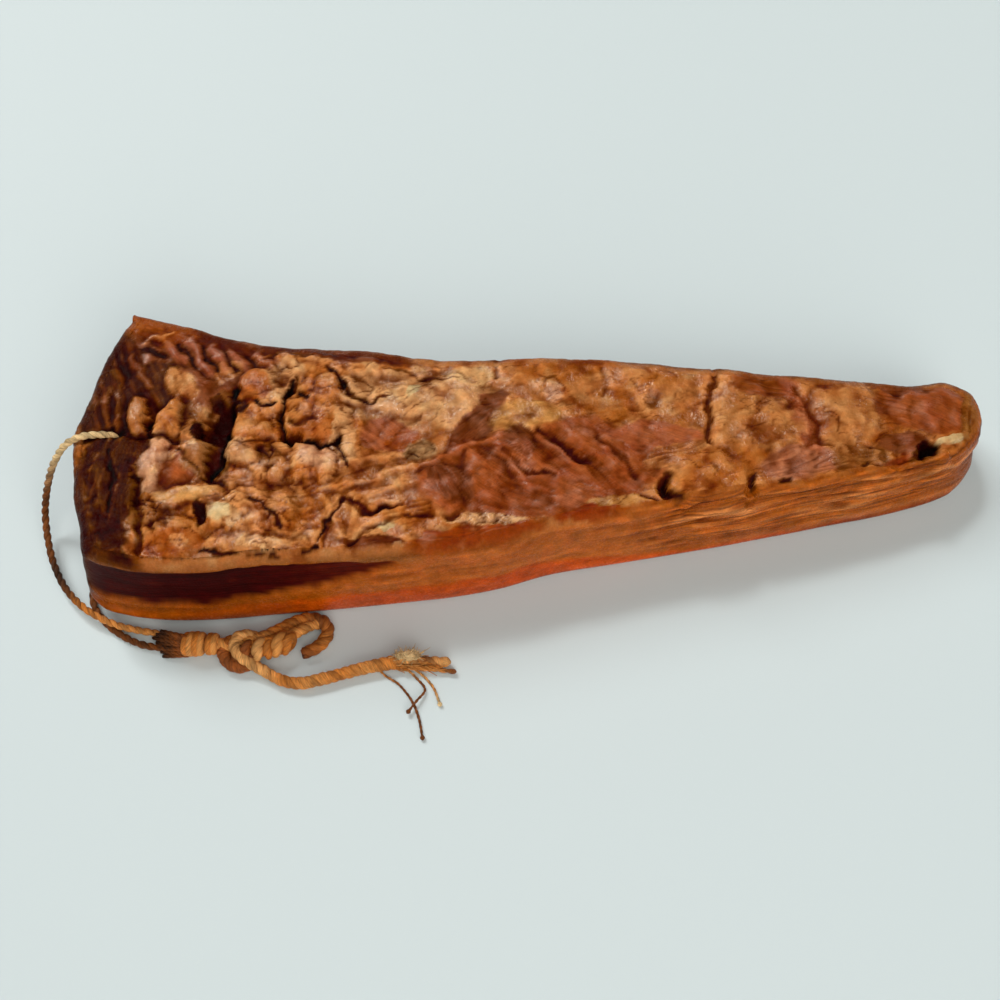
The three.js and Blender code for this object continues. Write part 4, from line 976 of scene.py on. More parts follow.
# Strips of colour and small relief along a line: colour, points, half width, strength and height.
# The dark strips sunk into the top are painted shade in its cracks, pits, grooves and gaps and under its
# overhangs.
strokes = {
    "red_strip": ("lean_red", [(102, 29), (106.5, 17), (111, 1)], 4.5, 0.9, -0.5),
    "back_band": ("lean_purple", [(-135, 50), (-80, 42.5), (-15, 37.5)], 1.6, 0.8, 0),
    # Painted shade in a fold of the boulder, in the hole the string goes into and in the lean's valleys.
    "boulder_fold": ("umber", [(-94.8, 6.5), (-90.6, 5.5), (-86.0, 7.0)], 1.1, 0.75, -0.9),
    "hole_rim": ("crevice_shade_black", [(-168, 4), (-161, 2.5)], 2.6, 0.9, -1),
    "lean_valley_a": ("lean_dark", [(2.5, 5), (10, -2), (18, -7), (24, -7)], 1.8, 0.5, -0.7),
    "lean_valley_b": ("lean_dark", [(25, 2), (33, -6), (40, -15)], 1.3, 0.5, -0.8),
    "lean_valley_c": ("lean_dark", [(-12, -6), (-2, -13), (8, -15)], 1.2, 0.6, -0.9),
    "notch_shade": ("bark_and_shade", [(52, -14.5), (51, -19), (56, -23.5)], 1.7, 0.85, -0.6),
    # Painted shade in small pits and a notch.
    "pit_a": ("umber", [(84.9, -17.8), (85.6, -13.4)], 1.3, 0.85, -1),
    "pit_b": ("umber", [(95.5, -14.8), (99.5, -13.6)], 1, 0.8, -0.8),
    "pit_c": ("umber", [(129.5, -7.6), (132, -6.6)], 1, 0.8, -0.7),
    "notch_line": ("lean_dark", [(55, -25.5), (66, -26.5)], 1.2, 0.9, -0.5),
    # Painted shade in the boulders' cracks and slits, under the overhanging block and in its side and pits.
    "main_crack": ("crevice_shade_black", [(-97, 26), (-97.5, 19), (-98.5, 12), (-98.5, 5), (-96.5, 0)], 0.7, 0.9, -1.4),
    "crack_nick": ("crevice_shade_black", [(-93.5, 21), (-89.5, 17)], 0.8, 0.9, -1),
    "slit": ("crevice_shade_black", [(-110, 16), (-106, 13.5), (-102, 14)], 0.8, 0.9, -1),
    "under_block": ("crevice_shade_black", [(-97, 0), (-90.5, -1.5), (-83, -2), (-76, 0)], 0.8, 0.85, -1.2),
    "block_side": ("bark_and_shade", [(-77, 0), (-75, -5.5), (-72.5, -12)], 0.7, 0.8, -0.8),
    "block_pit": ("crevice_shade_black", [(-77, 24.5), (-74, 22), (-72, 19.5)], 1.2, 0.85, -1.2),
    "block_top": ("bark_and_shade", [(-83, 31), (-79, 27.5), (-76, 24)], 0.8, 0.8, -0.8),
    # Painted shade in creases of the fat and the leaf, and down the main pit.
    "pale_line": ("umber", [(-117, -2.5), (-111, -2.5), (-104, -1)], 0.5, 0.55, -0.4),
    "low_line": ("bark_and_shade", [(-125, -47), (-111, -48.5), (-95.5, -48.5)], 0.9, 0.9, -0.8),
    "leaf_crack": ("bark_and_shade", [(-82, -43), (-79, -35), (-73.5, -24)], 0.7, 0.85, -0.8),
    "leaf_low": ("lean_dark", [(-73.5, -24), (-68, -26.5), (-62.5, -30), (-57.5, -28.5)], 1.3, 0.9, -1),
    "leaf_notch": ("bark_and_shade", [(-86.5, -48), (-83, -45.5)], 1.2, 0.9, -0.8),
    "pit_run": ("crevice_shade_black", [
        (-117.5, 21.5), (-119, 12.5), (-119.5, 1), (-121, -9.5), (-123.5, -15.5),
    ], 1.7, 0.95, -1.5),
    "pit_foot": ("bark_and_shade", [(-123.5, -16), (-120.5, -18.5)], 1.2, 0.8, -0.6),
    # Painted shade in cracks and lines of the tan fat and the tongue.
    "tan_crack_a": ("brown", [
        (-59.5, 32), (-53, 31.5), (-45.5, 27.5), (-39, 28.5), (-29.5, 27.5),
    ], 0.6, 0.8, -0.4),
    "tan_crack_b": ("brown", [(-109, 35.5), (-100, 37.5), (-89, 35.5)], 0.7, 0.8, -0.6),
    "tan_crack_c": ("bark_and_shade", [(-71, 18.5), (-64, 16.5), (-56.5, 20.5)], 0.7, 0.7, -0.6),
    "hump_line": ("bark_and_shade", [(-108, -25.5), (-102, -29.5), (-97, -37)], 0.8, 0.8, -0.8),
    "tongue_line": ("umber", [(-139.5, -5), (-132.5, -13), (-123.5, -18.5)], 0.8, 0.7, -0.6),
    "rib_a": ("lean_rib", [(-146.5, 43.6), (-143, 39), (-139.9, 33.8)], 1.8, 0.8, 1),
    "rib_b": ("lean_rib", [(-138, 43.6), (-134, 38), (-129.8, 31.4)], 1.9, 0.8, 1.1),
    "rib_c": ("lean_rib", [(-129.2, 40.3), (-126, 36.2), (-122.8, 31.4)], 1.7, 0.8, 1),
    "rib_d": ("lean_rib", [(-120.6, 38.7), (-117.4, 35.4), (-114.4, 31.4)], 1.7, 0.8, 0.9),
    "rib_e": ("lean_rib", [(-110.7, 37.9), (-107.5, 35.4), (-104.7, 32.2)], 1.6, 0.7, 0.8),
    # Painted shade in the grooves between the ribs and under the nubs.
    "gap_a": ("bark_and_shade", [(-142, 43.5), (-138.8, 38.4), (-135, 32.5)], 0.8, 0.8, -0.8),
    "gap_b": ("bark_and_shade", [(-133.5, 41.5), (-130, 36.6), (-126.5, 31)], 0.8, 0.8, -0.8),
    "gap_c": ("umber", [(-125, 39.5), (-122, 35.6), (-118.5, 31)], 0.8, 0.8, -0.8),
    "gap_d": ("umber", [(-115.5, 38.5), (-112.6, 35.4), (-109.5, 31.5)], 0.7, 0.8, -0.7),
    "nub_gap": ("umber", [(-153, 2), (-146.1, 0.1), (-139.5, -1.6)], 1.1, 0.8, -1.2),
    "streak_a": ("brown", [(-167, 30), (-164.5, 20), (-163, 8.5)], 1.5, 0.4, 0.8),
    "streak_b": ("brown", [(-169.5, 21), (-169.5, 12), (-168.5, 4)], 1.3, 0.4, 0.8),
    "streak_c": ("lean_rib", [(-162, 37.5), (-158, 31), (-154, 24)], 1.7, 0.6, 0.9),
    "streak_d": ("umber", [(-161.5, 18.5), (-162, 11), (-163, 3.5)], 1.5, 0.7, 0.6),
    "flap_edge": ("brown", [(-175, -3.5), (-174, -17.5), (-171, -30)], 1.4, 0.5, 0.7),
    "flap_streak": ("umber", [(-170, -5.5), (-167, -17.5), (-166.5, -28)], 1.5, 0.8, 0.5),
    # Painted shade in the flap's crevice.
    "flap_dark": ("crevice_shade_black", [(-164, -4.5), (-162, -17.5), (-161, -32)], 1.3, 0.7, -0.8),
    "flap_low": ("brown", [(-169.5, -34), (-164.5, -44.5), (-161.5, -50.5)], 1.8, 0.35, 0.6),
    "crumb_edge": ("umber", [(-156.5, -17), (-152.5, -30), (-149, -44)], 1.8, 0.6, 0.6),
    "ledge": ("tan", [(-158.5, 43), (-155, 45.5), (-150, 46), (-145, 48.5)], 0.8, 0.8, 0.7),
    # Painted shade under the ledge.
    "under_ledge": ("bark_and_shade", [(-158, 40.5), (-153.5, 39.5), (-147.5, 38)], 1.8, 0.9, -1),
}


def fat_colour(x, y):
    """The ground colour of the fat: tan and orange clouds."""
    return toward(palette["tan"], palette["orange"], smoothstep(-0.15, 0.5, layered(x / 19, y / 13, 63)))


def stroke_of(x, y, line, half_width, power):
    """How far places are inside a stroke, whose width is uneven along it."""
    wide = half_width * (1 + 0.45 * noise(x / 4.5, y / 4.5, 66))
    return np.exp(-((distance_to_line(x, y, line) / wide) ** power))


def survey(x, y):
    """What lies where on the top: colour, cragginess, leanness and fibre direction."""
    wx, wy = warped(x, y)
    ragged_x = wx + 0.35 * layered(x / 2.4, y / 2.4, 62, 2)
    ragged_y = wy + 0.35 * layered(x / 2.4, y / 2.4, 66, 2)
    colour = fat_colour(x, y)
    crag = np.full(x.shape, 0.7) - 0.2 * smoothstep(-30, 40, x)
    lean = np.zeros(x.shape)
    fibrous = np.zeros(x.shape)
    angle = np.full(x.shape, math.radians(10))
    for name, *place, patch_crag, patch_lean, fibre in patches.values():
        inside = smoothstep(-0.16, 0.26, 1 - reach(ragged_x, ragged_y, place))
        colour = toward(colour, palette[name], inside * 0.85)
        crag = crag + (patch_crag - crag) * inside
        lean = lean + (patch_lean - lean) * inside
        fibrous = fibrous * (1 - inside) + (0 if fibre is None else inside)
        if fibre is not None:
            angle = np.where(inside > 0.5, math.radians(fibre), angle)
    depth = y - front_foot(x) - front_lean(x)
    rim = 1 - smoothstep(2, 6, depth + 1.6 * layered(x / 9, y / 9, 67))
    for name, low, high in front_rims:
        here = rim * smoothstep(low - 4, low + 4, wx) * (1 - smoothstep(high - 4, high + 4, wx))
        colour = toward(colour, palette[name], here * 0.9)
    for name, line, half_width, strength, _ in strokes.values():
        inside = stroke_of(ragged_x, ragged_y, line, half_width, 4) * strength
        colour = toward(colour, palette[name], inside)
    u = x * np.cos(angle) + y * np.sin(angle)
    v = y * np.cos(angle) - x * np.sin(angle)
    sheet, tint = torn(x, y, u, v, fibrous)
    lump, gap = lumps(x, y)
    gap = 0.6 * gap * crag * (1 - fibrous) * (1 - 0.8 * smoothstep(-78, -58, x))
    cracks = np.maximum(cracks_of(x, y) * (1 - 0.6 * fibrous), gap)
    return {
        "colour": colour, "crag": crag, "lean": lean, "fibrous": fibrous, "u": u, "v": v,
        "cracks": cracks, "sheet": sheet, "tint": tint, "lump": lump,
    }


def fine_relief(x, y, ground):
    """Torn sheets, folds and crumbs of the fat, and bundles of fibres in the lean."""
    crag, fibrous = ground["crag"], ground["fibrous"]
    wx, wy = swayed(x, y, 1.8, 7, 71)
    folds = 0.5 * noise(wx / 14, wy / 9, 41) + 0.2 * noise(wx / 6.5, wy / 4.6, 43)
    folds = folds + 0.07 * noise(wx / 3, wy / 2.4, 45)
    near, after = cells(wx / 3.1, wy / 2.8, 37)
    crumbs = 0.7 * (0.5 - 1.6 * near ** 2) - 0.3 * np.exp(-(((after - near) / 0.15) ** 2))
    height = (0.25 + crag) * (folds * (1 - 0.5 * fibrous) + ground["sheet"])
    lumpy = smoothstep(0.35, 0.8, crag) * (1 - 0.75 * smoothstep(-78, -58, x))
    height = height + 1.1 * lumpy * ground["lump"] * (1 - fibrous)
    height = height - 0.5 * crag * ground["cracks"]
    height = height + crumbs * np.maximum(0, crag - 0.9)
    wrinkle = np.minimum(1, 2.6 * np.abs(noise(wx / 5.4, wy / 3.4, 48))) - 0.55
    wrinkle = wrinkle * smoothstep(-0.5, 0.1, noise(x / 13, y / 13, 44))
    height = height + 0.5 * wrinkle * lumpy * (1 - fibrous)
    place = warped(x, y)
    for _, line, half_width, _, rise in strokes.values():
        height = height + rise * stroke_of(*place, line, half_width, 2)
    return height


def full_top(x, y):
    ground = survey(x, y)
    return top_height(x) + relief(x, y) + fine_relief(x, y, ground)


def girth_streaks(loop, girth):
    """Lengthwise strands of the wall, by the way up it: their height, and the lines between them."""
    x = loop["run"]
    up = girth + 1.8 * noise(x / 42, girth / 20, 49)
    tone = noise(x / 50, up / 4.6, 45) + 0.5 * noise(x / 22, up / 2.2, 46)
    tone = tone + 0.25 * noise(x / 10, up / 1.1, 47)
    shown = smoothstep(-0.3, 0.2, noise(x / 25, up / 8, 147))
    line = np.exp(-((noise(x / 60, up / 3.4, 145) / 0.11) ** 2)) * shown
    return tone * loop["fade"], line * loop["fade"]


# Mesh of the slab. Columns run along its top and rows across it. A share is a height on the wall from
# 0 at the foot to 1 at the top, and a way is the length round the wall in millimetres.

columns, rows = 440, 146
foot_share, edge_share = 0.08, 0.9
foot_way, wall_way, edge_way = 3, 36, 7
wall_shares = np.linspace(foot_share, edge_share, 19)
round_steps = 4


def spaced(low, high, count, dense_until, ratio):
    """Values from low to high, closer together before dense_until than after it."""
    fine = np.linspace(low, high, 2000)
    weight = np.where(fine < dense_until, ratio, 1.0)
    total = np.concatenate([[0], np.cumsum(weight[:-1])])
    return np.interp(np.linspace(0, total[-1], count), total, fine)


def ring_smoothed(values, sigma):
    """A closed loop of values averaged over near neighbours."""
    half = int(3 * sigma)
    weights = np.exp(-0.5 * (np.arange(-half, half + 1) / sigma) ** 2)
    weights /= weights.sum()
    padded = np.concatenate([values[-half:], values, values[:half]])
    return np.stack([np.convolve(column, weights, mode="valid") for column in padded.T], axis=1)


def foot_line():
    """The outline anticlockwise from the front left corner."""
    front_x = spaced(-176.5, 173, columns + 1, -35, 1.3)
    back_x = spaced(-165.5, 175.5, columns + 1, -35, 1.3)
    left_y = np.linspace(-52, 61.5, rows + 1)
    right_y = np.linspace(-6, 34, rows + 1)
    front = np.stack([front_x, front_foot(front_x)], axis=1)
    back = np.stack([back_x, back_foot(back_x)], axis=1)
    left = np.stack([left_foot(left_y), left_y], axis=1)
    right = np.stack([right_foot(right_y), right_y], axis=1)
    return ring_smoothed(np.vstack([front[:-1], right[:-1], back[1:][::-1], left[1:][::-1]]), 2.0)


def foot_loop():
    """The outline with its inward directions and leans, the run along it and what faces the front."""
    loop = foot_line()
    tangent = np.roll(loop, -1, 0) - np.roll(loop, 1, 0)
    tangent /= np.linalg.norm(tangent, axis=1)[:, None]
    tangent = ring_smoothed(tangent, 3.5)
    tangent /= np.linalg.norm(tangent, axis=1)[:, None]
    inward = np.stack([-tangent[:, 1], tangent[:, 0]], axis=1)
    front_share = np.maximum(0, inward[:, 1])
    back_share = np.maximum(0, -inward[:, 1])
    end_share = np.where(inward[:, 0] > 0, inward[:, 0] * left_lean, -inward[:, 0] * right_lean)
    lean = front_share * front_lean(loop[:, 0]) + back_share * back_lean + end_share
    rounding = top_round * (1 - 0.35 * front_share * smoothstep(20, 70, loop[:, 0]))
    step = np.roll(loop, -1, 0) - loop
    end_part = inward[:, 0] ** 2
    way = np.sqrt((1 - end_part) * step[:, 0] ** 2 + end_part * step[:, 1] ** 2)
    run = loop[0, 0] + np.concatenate([[0], np.cumsum(way[:-1])])
    fade = smoothstep(0, 8, run - run[0]) * smoothstep(0, 8, run[-1] - run)
    thin_end = np.maximum(0, -inward[:, 0])
    return {
        "points": loop, "inward": inward, "lean": lean, "front": front_share, "back": back_share,
        "round": rounding, "run": run, "fade": fade, "bare": np.maximum(front_share, thin_end),
    }


def foot_lift(x):
    return lift_rise * np.maximum(0, (lift_start - x) / lift_reach) ** 1.5


def in_strip(x, share):
    """How far a place in the front wall is inside the sunk lean layer."""
    open_side = 1 - smoothstep(-54, -48, x)
    over_low = smoothstep(-0.03, 0.03, share - strip_low(x))
    return over_low * smoothstep(-0.03, 0.03, strip_high(x) - share) * open_side


def wall_ring(loop, inset, share, girth, ridged, height_at):
    """One ring round the slab. Its ridges are lengthwise strands, by its way up the wall."""
    x, y = loop["points"].T
    strip = in_strip(x, share) * loop["front"]
    wavy = 0.9 * noise(x / 24, y / 24 + share * 2, 41)
    tone, line = girth_streaks(loop, girth)
    coarse = loop["bare"] * (1 - 0.6 * np.maximum(0, -loop["inward"][:, 0]))
    streaked = 0.25 + 0.8 * smoothstep(25, 60, x) * coarse * smoothstep(0.2, 0.4, share)
    swell = np.sin(np.clip(share / rind_high(x), 0, 1) * math.pi)
    bulge = swell * loop["front"] * (1 - smoothstep(20, 60, x))
    depth = inset + loop["lean"] * share + strip_sunk * strip - 0.7 * bulge
    depth = depth + (wavy - streaked * (tone - 0.6 * line) * ridged) * min(1, share * 4)
    place = loop["points"] + loop["inward"] * depth[:, None]
    return np.column_stack([place, height_at(place[:, 0], place[:, 1])])


def wall_rings(loop):
    """The rings from the foot to the top's edge, each with its share and its way up."""
    def lifted(rise):
        return lambda x, y: foot_lift(x) + rise

    def between(share):
        part = (share - foot_share) / (edge_share - foot_share)

        def height_at(x, y):
            low = foot_lift(x) + foot_round
            return low + (top_height(x) + relief(x, y) - loop["round"] - low) * part

        return height_at

    rings, shares, girths = [], [], []

    def add(inset, share, girth, ridged, height_at):
        rings.append(wall_ring(loop, inset, share, girth, ridged, height_at))
        shares.append(share)
        girths.append(girth)

    for k in range(round_steps):
        part = k / round_steps
        turn = math.radians(90 * k / round_steps)
        rise = foot_round * (1 - math.cos(turn))
        add(foot_round * (1 - math.sin(turn)), foot_share * part, foot_way * part, 0, lifted(rise))
    add(0, foot_share, foot_way, 1, lifted(foot_round))
    for share in wall_shares[1:]:
        add(0, share, share * wall_way, 1, between(share))
    for k in range(1, round_steps + 2):
        part = k / (round_steps + 1)
        turn = math.radians(90 * part)
        drop = loop["round"] * (1 - math.sin(turn))
        inset = loop["round"] * (1 - math.cos(turn))
        girth = edge_share * wall_way + edge_way * part
        add(inset, edge_share + 0.1 * part, girth, 1 - part, lambda x, y, d=drop: full_top(x, y) - d)
    return rings, shares, girths


def top_places(ring):
    """Places of the top face between the four edges of its ring."""
    front = ring[:columns + 1]
    right = ring[columns:columns + rows + 1]
    back = ring[columns + rows:2 * columns + rows + 1][::-1]
    left = np.vstack([ring[:1], ring[2 * columns + rows:][::-1]])
    s = np.linspace(0, 1, columns + 1)[:, None, None]
    t = np.linspace(0, 1, rows + 1)[None, :, None]
    place = front[:, None] * (1 - t) + back[:, None] * t + left[None] * (1 - s) + right[None] * s
    corners = front[0] * (1 - s) * (1 - t) + front[-1] * s * (1 - t)
    corners = corners + back[0] * (1 - s) * t + back[-1] * s * t
    return (place - corners)[:, :, :2]


# Painting of the slab

def mottled(colour, ground, x, y):
    """Clouds and sheets of the fat, and fibres of the lean with a painted sheen and thin pale painted
    highlights along them.
    """
    wx, wy = swayed(x, y, 2.4, 8, 75)
    fleck = 0.9 * layered(wx / 12, wy / 8, 81, 3) + 0.3 * ground["tint"]
    lean = ground["lean"]
    bright = smoothstep(0.25, 0.5, colour.mean(axis=1))
    pale = smoothstep(0.05, 0.9, fleck)
    shown = 0.65 - 0.35 * smoothstep(50, 80, x)
    colour = toward(colour, palette["pale"], pale * (1 - lean) * bright * shown)
    u, v = ground["u"], ground["v"]
    streak = smoothstep(0.05, 0.5, noise(u / 16, (v + 1.2 * noise(u / 11, v / 8, 54)) / 2.1, 53))
    colour = toward(colour, palette["lean_brown"], (0.2 * pale + 0.36 * streak) * (1 - bright))
    shade = smoothstep(0.05, 0.9, -fleck) * (0.44 * (1 - lean) + 0.26 * lean)
    colour = colour * (1 - shade[:, None] * [0.7, 1, 1.15])
    # Painted sheen in clouds and thin pale painted highlights along the fibres of the lean, in a light pink.
    wv = v + 1.4 * noise(u / 14, v / 9, 55)
    scratch_highlight = np.exp(-((noise(u / 16, wv / 1.5, 57) / 0.1) ** 2))
    scratch_highlight = scratch_highlight * smoothstep(0.05, 0.45, noise(x / 8, y / 8, 58))
    painted_sheen = smoothstep(0.1, 0.7, layered(x / 9, y / 7, 59)) * 0.4 + scratch_highlight * 0.4
    return toward(colour, palette["lean_highlight_pink"], painted_sheen * lean * smoothstep(0.18, 0.3, colour[:, 0]))


def shade_top(colour, ground, height, x, y):
    """Paints shade into the creases and highlights onto the ridges, and draws the torn lines."""
    grid = height.reshape(columns + 1, rows + 1)
    close = (grid - blurred(grid, 2, 2)).ravel()
    wide = (grid - blurred(grid, 8, 8)).ravel()
    colour = mottled(colour, ground, x, y)
    # Painted shade: places lower than the blurred height around them, the creases and hollows, are darkened.
    dark = np.clip(-close * 0.9 - wide * 0.16 - 0.02, 0, 0.8)
    line = ground["cracks"] * (0.55 - 0.35 * ground["lean"])
    # Painted highlight: places higher than the blurred height around them, the ridges, are lightened.
    light = np.clip(close * 0.9 + wide * 0.08, 0, 0.36)
    colour = toward(colour, colour * [0.42, 0.27, 0.18], 1 - (1 - dark) * (1 - line))
    fat = (1 - ground["lean"]) * smoothstep(0.2, 0.4, colour[:, 0])
    # The painted highlight on the ridges pales the fat and brightens every colour.
    colour = toward(colour, palette["pale"], 0.5 * light * fat)
    return colour * (1 + np.array([0.5, 0.6, 0.7]) * light[:, None])


def stringy_share(x, share, loop):
    """How far a place in the front wall is bare strands, as it is towards the thin end."""
    return smoothstep(25, 65, x) * loop["bare"] * smoothstep(0.15, 0.35, share)


def front_colour(x, level, tone, line, stringy):
    """Rind, fat, the sunk lean strip with the fat over it, and the strands at the thin end, paler where they
    stand out and darker in the grooves between them, partly their own colour and partly painted light and
    shade.
    """
    far = smoothstep(60, 170, x)
    near_end = 1 - smoothstep(-150, -60, x)
    rind = toward(toward(wall["rind"], wall["rind_right"], far), wall["rind_left"], near_end)
    fat = toward(toward(wall["fat"], wall["fat_left"], near_end), wall["fat_right"], far * 0.4)
    front = toward(fat, rind, 1 - smoothstep(-0.03, 0.03, level - rind_high(x)))
    lean = toward(wall["strip_left"], wall["strip_right"], smoothstep(-120, -50, x))
    front = toward(front, lean, in_strip(x, level))
    over_strip = smoothstep(0, 0.04, level - strip_high(x)) * (1 - smoothstep(-50, -40, x))
    front = toward(front, wall["over_strip"], over_strip)
    # Partly painted light on the raised strands, and painted shade in the grooves between them.
    front = toward(front, wall["strand"], smoothstep(0.05, 0.7, tone) * 0.75 * stringy)
    return toward(front, wall["between_strands"], line * (0.2 + 0.5 * stringy))


def back_colour(x, y, share, level):
    back = toward(wall["back"], wall["back_rind"], 1 - smoothstep(0.18, 0.26, level))
    cloud = layered(x / 30, share * 4 + y / 60, 88)
    band = smoothstep(0.42, 0.5, level + 0.12 * cloud) * (1 - smoothstep(0.62, 0.74, level + 0.16 * cloud))
    return toward(back, wall["back_lean"], band * smoothstep(-0.5, 0.3, cloud))


def end_colour(x, level, tone, line, stringy):
    end = toward(wall["end_left"], wall["end_right"], smoothstep(60, 170, x))
    # Partly painted light on the raised strands, and painted shade in the grooves between them.
    end = toward(end, wall["end_strand"], smoothstep(0.05, 0.7, tone) * 0.6 * stringy)
    end = toward(end, wall["between_strands"], line * 0.6 * stringy)
    return toward(end, wall["end_rind"], 1 - smoothstep(0.16, 0.24, level))


def paint_wall(points, share, girth, loop):
    """Colours of one ring of the wall, by how high it lies."""
    x, y = points[:, 0], points[:, 1]
    wander = 0.035 * layered(x / 17, np.full(x.shape, share * 3.0), 85) + 0.005 * noise(x / 4, y / 4, 86)
    level = share + wander
    tone, line = girth_streaks(loop, girth)
    stringy = stringy_share(x, share, loop)
    # The front wall's colours are darkened a little, as painted shade on that side.
    front = front_colour(x, level, tone, line, stringy) * 0.91
    colour = end_colour(x, level, tone, line, stringy)
    colour = toward(colour, front, smoothstep(0.35, 0.85, loop["front"]))
    colour = toward(colour, back_colour(x, y, share, level), smoothstep(0.35, 0.85, loop["back"]))
    fleck = layered(loop["run"] / 6, np.full(x.shape, girth / 3.2), 89) * loop["fade"]
    # Painted light and shade: the wall is lighter where its strands stand out and darker where they sink.
    swing = (0.14 + 0.16 * stringy) * np.clip(tone, -1.2, 1.2)
    return colour * (1 + 0.13 * fleck[:, None]) * (1 + swing[:, None] * [0.9, 1, 1.15])


def edge_colour(loop, ring, top_ring, girth):
    """Colours of a ring in the rounded edge, as the top's pattern runs on down it."""
    down = edge_share * wall_way + edge_way - girth
    place = top_ring[:, :2] - loop["inward"] * down
    ground = survey(place[:, 0], place[:, 1])
    here = survey(ring[:, 0], ring[:, 1])
    return mottled(here["colour"], ground, place[:, 0], place[:, 1])


def moistness(colour):
    """How moist a place may be: the dark, dry crust isn't."""
    return smoothstep(0.22, 0.46, colour.mean(axis=1))


def ring_looks(loop, ring, top_ring, share, girth):
    """Colour, finish and grain of a ring of the wall. Finish is lean, moist, rind and strands."""
    x = ring[:, 0]
    colour = paint_wall(ring, share, girth, loop)
    if share > 0.88:
        top = edge_colour(loop, ring, top_ring, girth)
        start = 0.88 + (0.07 + 0.03 * layered(x / 9, x / 30, 87)) * smoothstep(20, 50, x)
        colour = toward(colour, top, smoothstep(0, 1, (share - start) / (0.99 - start)))
    strip = in_strip(x, share) * loop["front"]
    rind = np.full(len(ring), 1 - smoothstep(0.1, 0.3, share))
    strung = np.maximum(strip * 0.5, stringy_share(x, share, loop) * (1 - smoothstep(0.93, 1, share)))
    finish = np.column_stack([strip, 0.12 * moistness(colour), rind, strung])
    return colour, finish, np.column_stack([loop["run"], ring[:, 2] * 1.2, np.zeros(len(ring))])


def top_looks(ground, height, x, y):
    """Colour, finish and grain of the top face."""
    none = np.zeros(len(x))
    colour = shade_top(ground["colour"], ground, height, x, y)
    wet = smoothstep(-0.3, 0.6, layered(x / 9, y / 9, 83)) * moistness(colour)
    finish = np.column_stack([ground["lean"], wet, none, none])
    return colour, finish, np.column_stack([ground["u"], ground["v"], none])


def slab_arrays():
    """Points of the slab with their colour, finish and grain, ring by ring and then the top."""
    loop = foot_loop()
    rings, shares, girths = wall_rings(loop)
    places = top_places(rings[-1]).reshape(-1, 2)
    x, y = places.T
    ground = survey(x, y)
    height = relief(x, y) + fine_relief(x, y, ground)
    top = np.column_stack([places, top_height(x) + height])
    looks = [ring_looks(loop, ring, rings[-1], *at) for ring, *at in zip(rings, shares, girths)]
    looks.append(top_looks(ground, height, x, y))
    return len(rings), np.vstack(rings + [top]), [np.vstack(column) for column in zip(*looks)]


def slab_faces(ring_count):
    """Faces of the wall, the top and the underside."""
    count = 2 * columns + 2 * rows
    faces = []
    for k in range(ring_count - 1):
        here, above = k * count, (k + 1) * count
        for i in range(count):
            n = (i + 1) % count
            faces.append((here + i, here + n, above + n, above + i))
    start = ring_count * count
    last = (ring_count - 1) * count

    def at(i, j):
        if j == 0:
            return last + i
        if i == columns:
            return last + columns + j
        if j == rows:
            return last + 2 * columns + rows - i
        if i == 0:
            return last + (2 * columns + 2 * rows - j)
        return start + i * (rows + 1) + j

    for i in range(columns):
        for j in range(rows):
            faces.append((at(i, j), at(i + 1, j), at(i + 1, j + 1), at(i, j + 1)))
    for i in range(1, columns - 1):
        faces.append((i, 2 * columns + rows - i, 2 * columns + rows - i - 1, i + 1))
    faces.append([columns - 1 + k for k in range(rows + 3)][::-1])
    faces.append([(2 * columns + rows - 1 + k) % count for k in range(rows + 3)][::-1])
    return faces


def make_slab(material):
    ring_count, points, (colours, finish, grain) = slab_arrays()
    faces = slab_faces(ring_count)
    mirrored = shine + moist_shine * finish[:, 1:2] * moist_tint
    paint = np.maximum(linear(colours) * evenness - mirrored, darkest)
    paint = np.column_stack([paint, np.ones(len(paint))])
    used = np.unique(np.concatenate([np.array(face) for face in faces]))
    renumber = np.full(len(points), -1)
    renumber[used] = np.arange(len(used))
    faces = [tuple(renumber[list(face)]) for face in faces]
    layers = {
        "paint": ("FLOAT_COLOR", paint[used]),
        "finish": ("FLOAT_COLOR", finish[used]),
        "grain": ("FLOAT_VECTOR", grain[used]),
    }
    slab = mesh_object("meat", points[used], faces, layers)
    slab.data.materials.append(material)
    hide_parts("slab")
    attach(slab, BODY)
    return slab


# Materials

